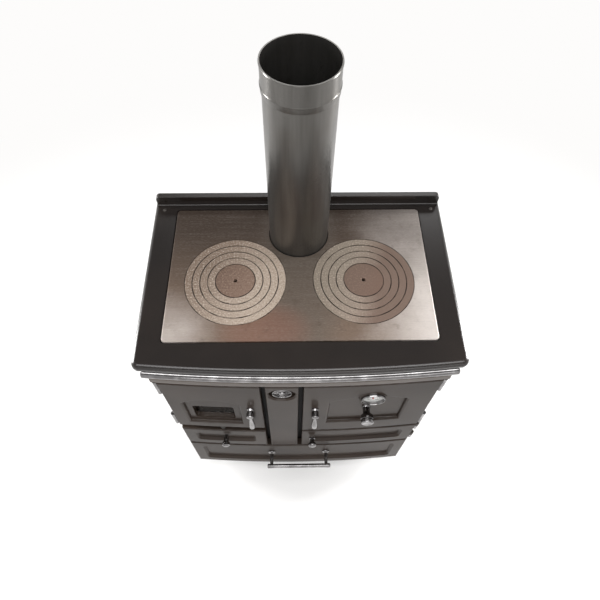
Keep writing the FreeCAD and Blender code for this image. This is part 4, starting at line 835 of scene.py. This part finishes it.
def makeWheel():
    centre = (wheel["across"], wheel["seat"], wheel["height"])
    full, spindle = wheel["radius"], wheel["spindle"]
    low, high = wheel["plate"]
    plate = turn("wheel_plate", centre, [
        (-wheel["behind"], spindle), (low, spindle), (low, full * wheel["plateShare"]),
        (high, full * wheel["plateShare"]),
    ], way="forward", sides=72)
    parts = [softenEdges(plate, wheel["plateEdge"])]
    for part, sides in (("rim", 96), ("ring", 72), ("nut", 48)):
        turned = turn("wheel_" + part, centre, shaped(wheel[part], full), way="forward", sides=sides,
                      closed=part != "nut")
        parts.append(smoothShade(turned, 50))
    for number in range(wheel["spokes"]):
        spoke = block("wheel_spoke", (
            wheel["across"] + full * wheel["spokeFrom"], wheel["seat"] - wheel["spokeFront"],
            wheel["height"] - wheel["spokeHalf"],
        ), (
            wheel["across"] + full * wheel["spokeTo"], wheel["seat"] - wheel["spokeBack"],
            wheel["height"] + wheel["spokeHalf"],
        ))
        turnAbout(spoke, math.tau * number / wheel["spokes"], centre)
        parts.append(softenEdges(spoke, wheel["spokeEdge"]))
    return joinPieces("air_wheel_made", parts)


finishPiece(makeWheel(), "air_wheel", looks["chrome"], "chrome", "air_wheel")

# the thermometer
gauge = {
    "across": 0.184, "height": 0.720, "radius": 0.031, "wall": 0.003, "seat": 0.005, "reach": 0.007,
    "rimFoot": [(0.0, 0.001), (0.001, 0.0)],  # (forward, inside the edge)
    "rim": [(-0.004, 0.0), (-0.0015, 0.0004), (0.0, 0.0014), (-0.0003, 0.0024)],  # from the front
    "rimBack": 0.0022, "well": (0.0036, 0.003), "wellStep": 0.0004,
    "span": 270, "ticks": 61, "tickTop": 0.93, "tickProud": 0.00012, "tickSunk": 0.0001,
    "longTick": (0.0030, 0.00032), "shortTick": (0.0016, 0.00016),  # length, half width
    "numbers": (50, 100, 150, 200, 250, 300, 350), "numberReach": 0.52, "numberSize": 0.0056,
    "numberThick": 0.00009, "numberSunk": 0.0002,
    "dialFoot": 0.003, "dialFace": 0.0038, "dialTop": 0.0041, "dialHole": 0.0016, "dialClear": 0.0003,
    "dialSteps": (0.97, 0.66, 0.645),
}
gaugeFace = bowY(gauge["across"], bow["doorFace"]) + gauge["seat"]
gaugeCentre = (gauge["across"], gaugeFace, gauge["height"])
gaugeInner = gauge["radius"] - gauge["wall"]


def makeBezel():
    full, rise = gauge["radius"], gauge["seat"] + gauge["reach"]
    floor, base = gauge["well"]
    profile = [(along, full - inset) for along, inset in gauge["rimFoot"]]
    profile += [(rise + along, full - inset) for along, inset in gauge["rim"]]
    profile += [(rise - gauge["rimBack"], gaugeInner), (floor, gaugeInner),
                (base, gaugeInner - gauge["wellStep"])]
    bezel = turn("thermometer_bezel_made", gaugeCentre, profile, way="forward", sides=96)
    return smoothShade(bezel, 55)


def makeDial():
    inner, hole = gaugeInner - gauge["dialClear"], gauge["dialHole"]
    low, high, top = gauge["dialFoot"], gauge["dialFace"], gauge["dialTop"]
    rim, band, step = gauge["dialSteps"]
    plate = turn("dial_plate", gaugeCentre, [
        (low, hole), (low, inner), (high, inner), (top, inner * rim), (top, inner * band),
        (high, inner * step), (high, hole),
    ], way="forward", sides=96, closed=True)
    return smoothShade(plate, 50)


def dialAngle(number, count):  # where a mark stands on the dial's arc
    return math.radians(-gauge["span"] / 2 + gauge["span"] * number / (count - 1))


def makeDialMarks():
    top = gaugeFace - gauge["dialTop"]
    crown = gauge["height"] + gaugeInner * gauge["tickTop"]
    marks = []
    for number in range(gauge["ticks"]):
        length, half = gauge["shortTick" if number % 10 else "longTick"]
        tick = block("dial_tick", (gauge["across"] - half, top - gauge["tickProud"], crown - length),
                     (gauge["across"] + half, top + gauge["tickSunk"], crown))
        marks.append(turnAbout(tick, dialAngle(number, gauge["ticks"]), gaugeCentre))
    reach = gaugeInner * gauge["numberReach"]
    for number, figure in enumerate(gauge["numbers"]):
        angle = dialAngle(number, len(gauge["numbers"]))
        clearSelection()
        bpy.ops.object.text_add(rotation=(math.pi / 2, 0, 0), location=(
            gauge["across"] + math.sin(angle) * reach, top + gauge["numberSunk"],
            gauge["height"] + math.cos(angle) * reach))
        text = bpy.context.object
        text.data.body = str(figure)
        text.data.size = gauge["numberSize"]
        text.data.align_x = "CENTER"
        text.data.align_y = "CENTER"
        text.data.extrude = gauge["numberThick"]
        text.data.resolution_u = 3
        bpy.ops.object.convert(target="MESH")
        marks.append(settle(bpy.context.object))
    return joinPieces("dial_marks", marks)


needle = {
    "ahead": 0.0045,
    "boss": [(-0.0013, 0.0014), (0.0, 0.0014), (0.0, 0.0024), (0.0007, 0.0024), (0.0010, 0.0016)],
    "half": 0.0009, "thick": (0.0006, 0.0001), "tail": 0.0045, "tip": 0.021, "taper": 0.25,
    "edge": 0.0001,
}


def makeNeedle():
    x, z = gauge["across"], gauge["height"]
    front = gaugeFace - needle["ahead"]
    hub = turn("needle_boss", (x, front, z), needle["boss"], way="forward", sides=32)
    arm = block("needle_arm", (x - needle["half"], front - needle["thick"][0], z - needle["tail"]),
                (x + needle["half"], front - needle["thick"][1], z + needle["tip"]))
    openMesh(arm)
    pickFaces(arm, lambda middle, normal: normal.z > 0.5)
    bpy.ops.transform.resize(value=(needle["taper"], 1, 1), center_override=(x, front, z))
    bpy.ops.object.mode_set(mode="OBJECT")
    return joinPieces("needle_made", [smoothShade(hub, 50), softenEdges(arm, needle["edge"], 1)])


finishPiece(makeBezel(), "oven_door", looks["chrome"], "chrome", "thermometer_bezel")
finishPiece(makeDial(), "oven_door", looks["dial"], "dial_face", "thermometer_dial")
finishPiece(makeDialMarks(), "oven_door", looks["black"], "needle")
finishPiece(makeNeedle(), "thermometer_needle", looks["red"], "needle", "thermometer_needle")
print("the wheel and the thermometer are made")

# the vent knob on the oven door
ventKnob = {
    "across": 0.176, "height": 0.640, "radius": 0.0165, "reach": 0.049, "behind": 0.0228,
    # (forward, share of the radius), and then (share of the reach, share of the radius)
    "foot": [(0.0006, 0.72), (0.003, 0.72), (0.005, 0.6)],
    "grip": [(0.36, 0.56), (0.44, 0.66), (0.5, 0.94), (0.54, 1), (0.72, 1), (0.73, 0.965), (0.755, 0.965),
             (0.765, 1), (0.93, 1), (0.975, 0.95), (1, 0.82), (1, 0.70), (0.985, 0.62), (0.98, 0.2)],
}
spindle = {"radius": 0.005, "face": 0.0006}  # of every knob and latch


def turnKnob(name, knob, start, behind, sides, angle):
    profile = [(-behind, spindle["radius"]), (spindle["face"], spindle["radius"])]
    profile += shaped(knob["foot"], knob["radius"]) + shaped(knob["grip"], knob["radius"], knob["reach"])
    centre = (knob["across"], start, knob["height"])
    return smoothShade(turn(name, centre, profile, way="forward", sides=sides), angle)


def makeVentKnob():
    start = bowY(ventKnob["across"], bow["recessFloor"])
    return turnKnob("vent_knob_made", ventKnob, start, ventKnob["behind"], 72, 45)


# the lever latches
latch = {
    "height": 0.656, "radius": 0.0095, "reach": 0.026, "doorThick": 0.024, "behind": 1.5,
    "endShare": 0.9, "endStep": 0.0005,
    # the boss: (forward, share of its radius), and the same from its front end
    "foot": [(0.0006, 1), (0.003, 1), (0.0045, 0.86), (0.008, 0.84), (0.0095, 1)],
    "front": [(-0.0045, 1), (-0.0018, 0.86), (-0.0004, 0.5), (0.0, 0.2)],
    # the grip: (up, share of its radius) from its low end, and the same from the boss
    "lever": 0.0065, "leverLength": 0.092,
    "tip": [(-0.00637, 0.35), (-0.0052, 0.82), (-0.00195, 1.22), (0.004, 1.38), (0.018, 1.34),
            (0.034, 1.12), (0.050, 0.86)],
    "neck": [(-0.030, 0.74), (-0.018, 0.8), (-0.008, 0.98), (0.0, 1)],
    "camGap": 0.002, "camDrop": 0.018, "camEdge": 0.0012,
}
doorBack = latch["doorThick"] + latch["radius"] * latch["behind"]  # how far back a spindle ends


def makeCam(name, across, height, face):  # the catch behind a door, on the same spindle
    behind = face + latch["doorThick"] + latch["camGap"]
    cam = block(name, (across - spindle["radius"], behind, height - latch["camDrop"]),
                (across + spindle["radius"], behind + latch["radius"], height))
    return softenEdges(cam, latch["camEdge"], 3)


def makeLatch(name, across):
    height, full, front = latch["height"], latch["radius"], latch["reach"]
    face = bowY(across, bow["doorFace"])
    profile = [(-doorBack, spindle["radius"] * latch["endShare"]),
               (-doorBack + latch["endStep"], spindle["radius"]), (spindle["face"], spindle["radius"])]
    profile += shaped(latch["foot"], full)
    profile += [(front + step, full * share) for step, share in latch["front"]]
    boss = turn("latch_boss", (across, face, height), profile, way="forward", sides=56)
    low, wide = -latch["leverLength"], latch["lever"]
    profile = [(low + step, wide * share) for step, share in latch["tip"]] + shaped(latch["neck"], wide)
    grip = turn("latch_grip", (across, face - front + full, height), profile, sides=48)
    return joinPieces(name, [smoothShade(boss, 45), smoothShade(grip, 50),
                             makeCam("latch_cam", across, height, face)])


# the warming oven's knob
warmingKnob = {
    "across": 0.039, "height": 0.398, "radius": 0.012, "reach": 0.028,
    "foot": [(0.0006, 0.78), (0.0025, 0.78), (0.004, 0.56)],
    "grip": [(0.38, 0.52), (0.5, 0.74), (0.6, 0.97), (0.68, 1), (0.8, 1), (0.9, 0.93), (0.97, 0.72),
             (1, 0.4)],
}


def makeWarmingKnob():
    across, height = warmingKnob["across"], warmingKnob["height"]
    face = bowY(across, bow["doorFace"])
    knob = turnKnob("warming_knob_turned", warmingKnob, face, doorBack, 64, 50)
    return joinPieces("warming_door_knob_made", [knob, makeCam("warming_cam", across, height, face)])


finishPiece(makeVentKnob(), "vent_knob", looks["chrome"], "chrome", "vent_knob")
for side, across in (("firebox", -0.131), ("oven", 0.039)):
    finishPiece(makeLatch(side + "_door_latch_made", across), side + "_latch", looks["chrome"], "chrome",
                side + "_door_latch")
finishPiece(makeWarmingKnob(), "warming_knob", looks["chrome"], "chrome", "warming_door_knob")
print("the knobs and latches are made")

# the ash drawer's front with its knob
ashKnob = {"across": -0.222, "height": 0.396, "radius": 0.0125, "proud": 0.0012}
ashFront = castFrom("ash_drawer_front", "ash_drawer_front_finished")
smoothShade(ashFront, 32)
finishPiece(ashFront, "ash_drawer", looks["doorEnamel"], "enamel", "ash_drawer_front")
ashFront.data.materials.append(looks["chrome"])
knobFoot = bowY(ashKnob["across"], bow["recessFloor"]) - ashKnob["proud"]
for face in ashFront.data.polygons:
    away = math.hypot(face.center.x - ashKnob["across"], face.center.z - ashKnob["height"])
    if away < ashKnob["radius"] and face.center.y < knobFoot:
        face.material_index = 1

# the drawer's bar handle
bar = {
    "spread": 0.090, "radius": 0.007, "height": 0.215, "along": -0.268, "over": 0.014, "edge": 0.0005,
    "end": [(0.0, 0.5), (0.0012, 0.85), (0.003, 1)],  # (in from the end, share of the radius)
    "waist": [(-0.0015, 1), (0.008, 0.92)],  # the same, in from a post
    "flange": 0.012, "flangeRise": (0.003, 0.005), "flangeLip": 0.8, "root": 0.007, "clear": 0.0003,
    "neck": (0.85, 0.75, 0.9),
}


def makeBar():
    half, full = bar["spread"] + bar["over"], bar["radius"]
    profile = [(-half + step, full * share) for step, share in bar["end"]]
    profile += [(-bar["spread"] + step, full * share) for step, share in bar["waist"]]
    profile += [(-along, radius) for along, radius in reversed(profile)]
    grip = turn("handle_bar_made", (0, bar["along"], bar["height"]), profile, way="right", sides=48)
    parts = [smoothShade(grip, 45)]
    low, waist, high = bar["neck"]
    for sign in (-1, 1):
        across = sign * bar["spread"]
        start = bowY(across, bow["recessFloor"]) - bar["clear"]
        reach = start - bar["along"]
        stem = [(bar["root"], full * low), (reach - full, full * waist), (reach, full * high)]
        parts.append(flangedPost("handle_post", (across, start, bar["height"]), bar, stem, 40))
    return joinPieces("drawer_handle_made", parts)


finishPiece(makeBar(), "storage_drawer", looks["chrome"], "chrome", "drawer_handle")
print("the drawers are made")

# the firebricks
brick = {"thick": 0.021, "joint": 0.0008, "edge": 0.0022, "rows": 2, "sideColumns": 3, "backColumns": 2}


def brickWall(low, high, columns, axis):
    low, high = Vector(low), Vector(high)
    bricks = []
    length, height = (high[axis] - low[axis]) / columns, (high.z - low.z) / brick["rows"]
    half = brick["joint"] / 2
    for row in range(brick["rows"]):
        for column in range(columns):
            first, last = low.copy(), high.copy()
            first[axis] = low[axis] + length * column + half
            last[axis] = low[axis] + length * (column + 1) - half
            first.z = low.z + height * row + half
            last.z = low.z + height * (row + 1) - half
            bricks.append(softenEdges(block("brick", first, last), brick["edge"]))
    return bricks


def makeBricks():
    (left, front, foot), (right, back, top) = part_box("firebricks")
    thick, columns = brick["thick"], brick["sideColumns"]
    walls = brickWall((left, front, foot), (left + thick, back - thick, top), columns, 1)
    walls += brickWall((right - thick, front, foot), (right, back - thick, top), columns, 1)
    walls += brickWall((left, back - thick, foot), (right, back, top), brick["backColumns"], 0)
    return joinPieces("firebricks_made", walls)


finishPiece(makeBricks(), "range_body", looks["brick"], "firebrick", "firebricks")

# the oven's wire racks
rack = {
    "wire": 0.0021, "frame": 0.003, "wires": 15, "levels": (0.590, 0.690), "braces": (0.33, 0.67),
    "braceDrop": 0.0008, "wireRise": 0.0006,
    "corner": [(-0.003, 0.0012), (-0.0024, 0.0026), (-0.001, 0.0032), (0.001, 0.0032), (0.0024, 0.0026),
               (0.003, 0.0012)],
}


def makeRacks():
    low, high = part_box("oven_shelves")
    left, right = low[0] + rack["frame"], high[0] - rack["frame"]
    front, back = low[1] + rack["frame"], high[1] - rack["frame"]
    corners = ((left, front), (right, front), (right, back), (left, back))
    parts = []
    for level in rack["levels"]:
        middle = level + rack["frame"]
        for start, end in zip(corners, corners[1:] + corners[:1]):
            parts.append(rod("rack_frame", (*start, middle), (*end, middle), rack["frame"], 16))
        for share in rack["braces"]:
            along, height = front + (back - front) * share, middle - rack["braceDrop"]
            ends = (left, along, height), (right, along, height)
            parts.append(rod("rack_brace", *ends, rack["wire"], 12))
        for number in range(1, rack["wires"] + 1):
            across = left + (right - left) * number / (rack["wires"] + 1)
            height = middle + rack["wireRise"]
            ends = (across, front, height), (across, back, height)
            parts.append(rod("rack_wire", *ends, rack["wire"], 12))
        for corner in corners:
            parts.append(turn("rack_corner", (*corner, middle), rack["corner"], sides=16))
    return smoothShade(joinPieces("oven_racks_made", parts), 45)


finishPiece(makeRacks(), "range_body", looks["zinc"], "steel", "oven_shelves")

# the levelling feet
foot = {
    "radius": 0.022, "pad": 0.008, "stem": 0.007, "root": 0.86, "start": 0.006, "top": 0.092,
    "pitch": 0.002,
    # (up, share of the radius)
    "disc": [(0, 0.93), (0.0012, 1), (0.005, 1), (0.0072, 0.9), (0.008, 0.5)],
    "nutFrom": 0.010, "nutHeight": 0.0075, "nutRadius": 0.0115, "nutEdge": 0.0008,
}


def makeFoot():
    disc = turn("foot_disc", (0, 0, 0), shaped(foot["disc"], foot["radius"]), sides=48)
    nut = turn("foot_nut", (0, 0, foot["nutFrom"]),
               [(0, foot["nutRadius"]), (foot["nutHeight"], foot["nutRadius"])], sides=6)
    root = foot["stem"] * foot["root"]
    thread = [(foot["start"], root)]
    height = foot["pad"]
    while height < foot["top"] - foot["pitch"]:
        thread += [(height + foot["pitch"] * 0.5, foot["stem"]), (height + foot["pitch"], root)]
        height += foot["pitch"]
    stem = turn("foot_stem", (0, 0, 0), thread + [(foot["top"], root)], sides=28)
    softenEdges(nut, foot["nutEdge"])
    return joinPieces("foot", [smoothShade(disc, 45), nut, smoothShade(stem, 20)])


footLow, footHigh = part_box("levelling_feet")
firstFoot = makeFoot()
feet = [copyPiece(firstFoot, (x, y, 0))
        for x in (footLow[0] + foot["radius"], footHigh[0] - foot["radius"])
        for y in (footLow[1] + foot["radius"], footHigh[1] - foot["radius"])]
bpy.data.objects.remove(firstFoot)
finishPiece(joinPieces("levelling_feet_made", feet), "range_body", looks["zinc"], "steel",
            "levelling_feet")
print("the bricks, racks and feet are made")

# screws that hold the panels
panel = {
    "across": 0.357, "back": 0.265, "top": 0.862, "inset": 0.018, "rows": 4, "columns": 5,
    "radius": 0.0042, "rise": 0.0016, "sunk": 0.0004,
    # (share of the rise, share of the radius)
    "dome": [(0.35, 0.98), (0.8, 0.7), (1, 0.36), (0.55, 0.3), (0.5, 0.05)],
}


def domeScrew(centre, way, sign):
    profile = [(-panel["sunk"] * sign, panel["radius"])]
    profile += shaped(panel["dome"], panel["radius"], panel["rise"] * sign)
    return smoothShade(turn("panel_screw", centre, profile, way=way, sides=20), 40)


def evenly(low, high, count):
    return [low + (high - low) * number / (count - 1) for number in range(count)]


def makePanelScrews():
    inset = panel["inset"]
    low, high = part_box("side_panel_right")
    heads = [domeScrew((sign * panel["across"], along, height), "right", sign)
             for sign in (-1, 1)
             for along in (low[1] + inset, high[1] - inset)
             for height in evenly(low[2] + inset, panel["top"] - inset, panel["rows"])]
    low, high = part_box("back_panel")
    heads += [domeScrew((across, panel["back"], height), "forward", -1)
              for across in evenly(low[0] + inset, high[0] - inset, panel["columns"])
              for height in (low[2] + inset, high[2] - inset)]
    return joinPieces("panel_screws", heads)


finishPiece(makePanelScrews(), "range_body", looks["zinc"], "chrome")

# the cover plate on the back
cover = {
    "half": 0.20, "foot": 0.34, "top": 0.66, "field": 0.0015, "sunk": 0.0001, "proud": 0.0013,
    "corner": 0.016, "border": 0.020, "step": 0.002, "raise": -0.0006, "edge": 0.0003,
}


def makeBackCover():
    field = panel["back"] - cover["field"]
    piece = block("back_cover", (-cover["half"], field - cover["sunk"], cover["foot"]),
                  (cover["half"], field + cover["proud"], cover["top"]))
    workOn(piece)
    bpy.ops.object.mode_set(mode="EDIT")
    bpy.ops.mesh.select_mode(type="EDGE")
    mesh = bmesh.from_edit_mesh(piece.data)
    for edge in mesh.edges:  # the four that run from front to back
        along = edge.verts[1].co - edge.verts[0].co
        edge.select_set(abs(along.y) > cover["proud"] / 2)
    mesh.select_flush_mode()
    bmesh.update_edit_mesh(piece.data)
    bpy.ops.mesh.bevel(offset=cover["corner"], segments=6, affect="EDGES")
    pickFaces(piece, lambda middle, normal: normal.y > 0.9)
    bpy.ops.mesh.inset(thickness=cover["border"], depth=0)
    bpy.ops.mesh.inset(thickness=cover["step"], depth=cover["raise"])
    bpy.ops.object.mode_set(mode="OBJECT")
    return softenEdges(piece, cover["edge"], 1)


finishPiece(makeBackCover(), "range_body", looks["panelEnamel"], "enamelled_panel")
print("the panels are dressed")

# CAD nodes that a piece stands for keep a finish too
slotLooks = {
    "enamel": "doorEnamel", "enamelled_panel": "panelEnamel", "chrome": "chrome", "ground_iron": "iron",
    "steel": "steel", "flue_steel": "flue", "firebrick": "brick", "window_glass": "glass",
    "dial_face": "dial", "needle": "red", "rope": "rope",
}
for entry in frame["record"]["subparts"]:
    item = nodes[entry["node"]]
    item.data.materials.clear()
    item.data.materials.append(looks[slotLooks[entry["material_slot"]]])

# floor, lights and camera
studio = {
    "floor": colour(250, 249, 248), "floorSoft": colour(253, 252, 251), "floorSize": 30.0,
    "fadeFrom": 0.5, "fadeTo": 2.2, "nearGlow": 0.35,  # where the floor turns plain white
    "light": 0.38,              # how much of the white surroundings lights the piece
    "overhead": (0.15, 0.8, 1.0, 0.25),  # how they darken towards straight above, in what shines
    "lamps": (
        # place, aims at, width, height, watts
        ((-2.1, 0.50, 1.1), (0, 0.12, 1.05), 0.4, 1.6, 62.0),
        ((2.1, 0.55, 1.1), (0, 0.12, 1.05), 0.4, 1.6, 76.0),
        ((0.0, -0.62, 2.2), (0, -0.42, 0.9), 2.0, 0.70, 23.0),
        ((0.2, -2.6, 1.5), (0, 0, 0.75), 2.4, 0.6, 12.0),
        ((0.3, 2.2, 2.6), (0, 0, 0.7), 2.4, 0.6, 16.0),
    ),
}


def seenRays(start):  # rays that see the background, straight on, in metal or through glass
    path = start.node("LightPath", output="Is Camera Ray")
    return start.maths("MAXIMUM", start.maths("MAXIMUM", path, path.other("Is Glossy Ray")),
                       path.other("Is Transmission Ray"))


def makeFloor():
    clearSelection()
    bpy.ops.mesh.primitive_plane_add(size=studio["floorSize"], location=(0, 0, 0))
    floor = bpy.context.object
    floor.name = "studio_floor"
    start, place = newFinish("pale_floor", {"Specular IOR Level": 0.1})
    cloud = start.noise(place, 1.2, 2.0, 0.5)
    base = cloud.tones(studio["floor"], studio["floorSoft"])
    connect(start, base=base, rough=0.9 + cloud * 0.05)
    away = start.node("VectorMath", {"operation": "LENGTH"}, {0: place}, "Value")
    fade = away.ease(studio["fadeFrom"], studio["fadeTo"], studio["nearGlow"], 1.0)
    glow = start.node("Emission", None, {"Color": studio["floorSoft"], "Strength": 1.0})
    mixed = start.node("MixShader", None, {0: fade * seenRays(start), 1: start, 2: glow})
    start.feed(start.tree.nodes["Material Output"].inputs["Surface"], mixed)
    floor.data.materials.append(start.finish)


def makeWorld():
    world = bpy.data.worlds.new("soft_studio")
    scene.world = world
    world.use_nodes = True
    tree = world.node_tree
    start = Wire(tree)
    seen = seenRays(start)
    high = start.apart(start.node("TexCoord", output="Generated")).other("Z")
    shown = high.ease(*studio["overhead"])
    backdrop = tree.nodes["Background"]
    backdrop.inputs["Color"].default_value = (1, 1, 1, 1)
    start.feed(backdrop.inputs["Strength"], seen * (shown - studio["light"]) + studio["light"])


def makeLamps():
    for number, (place, target, width, height, watts) in enumerate(studio["lamps"]):
        clearSelection()
        aim = (Vector(target) - Vector(place)).to_track_quat("-Z", "Y").to_euler()
        bpy.ops.object.light_add(type="AREA", location=place, rotation=aim)
        lamp = bpy.context.object
        lamp.name = f"softbox_{number}"
        lamp.data.shape = "RECTANGLE"
        lamp.data.size = width
        lamp.data.size_y = height
        lamp.data.energy = watts


view = {
    "place": (-0.02224, -0.69338, 1.97833), "yaw": 1.955, "down": 58.83, "roll": 1.17, "lens": 31.35,
    "sensor": 36.0, "nearest": 0.05,
}


def makeCamera():
    clearSelection()
    turned = (Matrix.Rotation(math.radians(-view["yaw"]), 3, "Z")
              @ Matrix.Rotation(math.radians(90 - view["down"]), 3, "X")
              @ Matrix.Rotation(math.radians(view["roll"]), 3, "Z"))
    bpy.ops.object.camera_add(location=view["place"], rotation=turned.to_euler())
    camera = bpy.context.object
    camera.data.lens = view["lens"]
    camera.data.sensor_width = view["sensor"]
    camera.data.clip_start = view["nearest"]
    scene.camera = camera


makeFloor()
makeWorld()
makeLamps()
makeCamera()
scene.view_settings.view_transform = "Standard"
print("the studio is set")
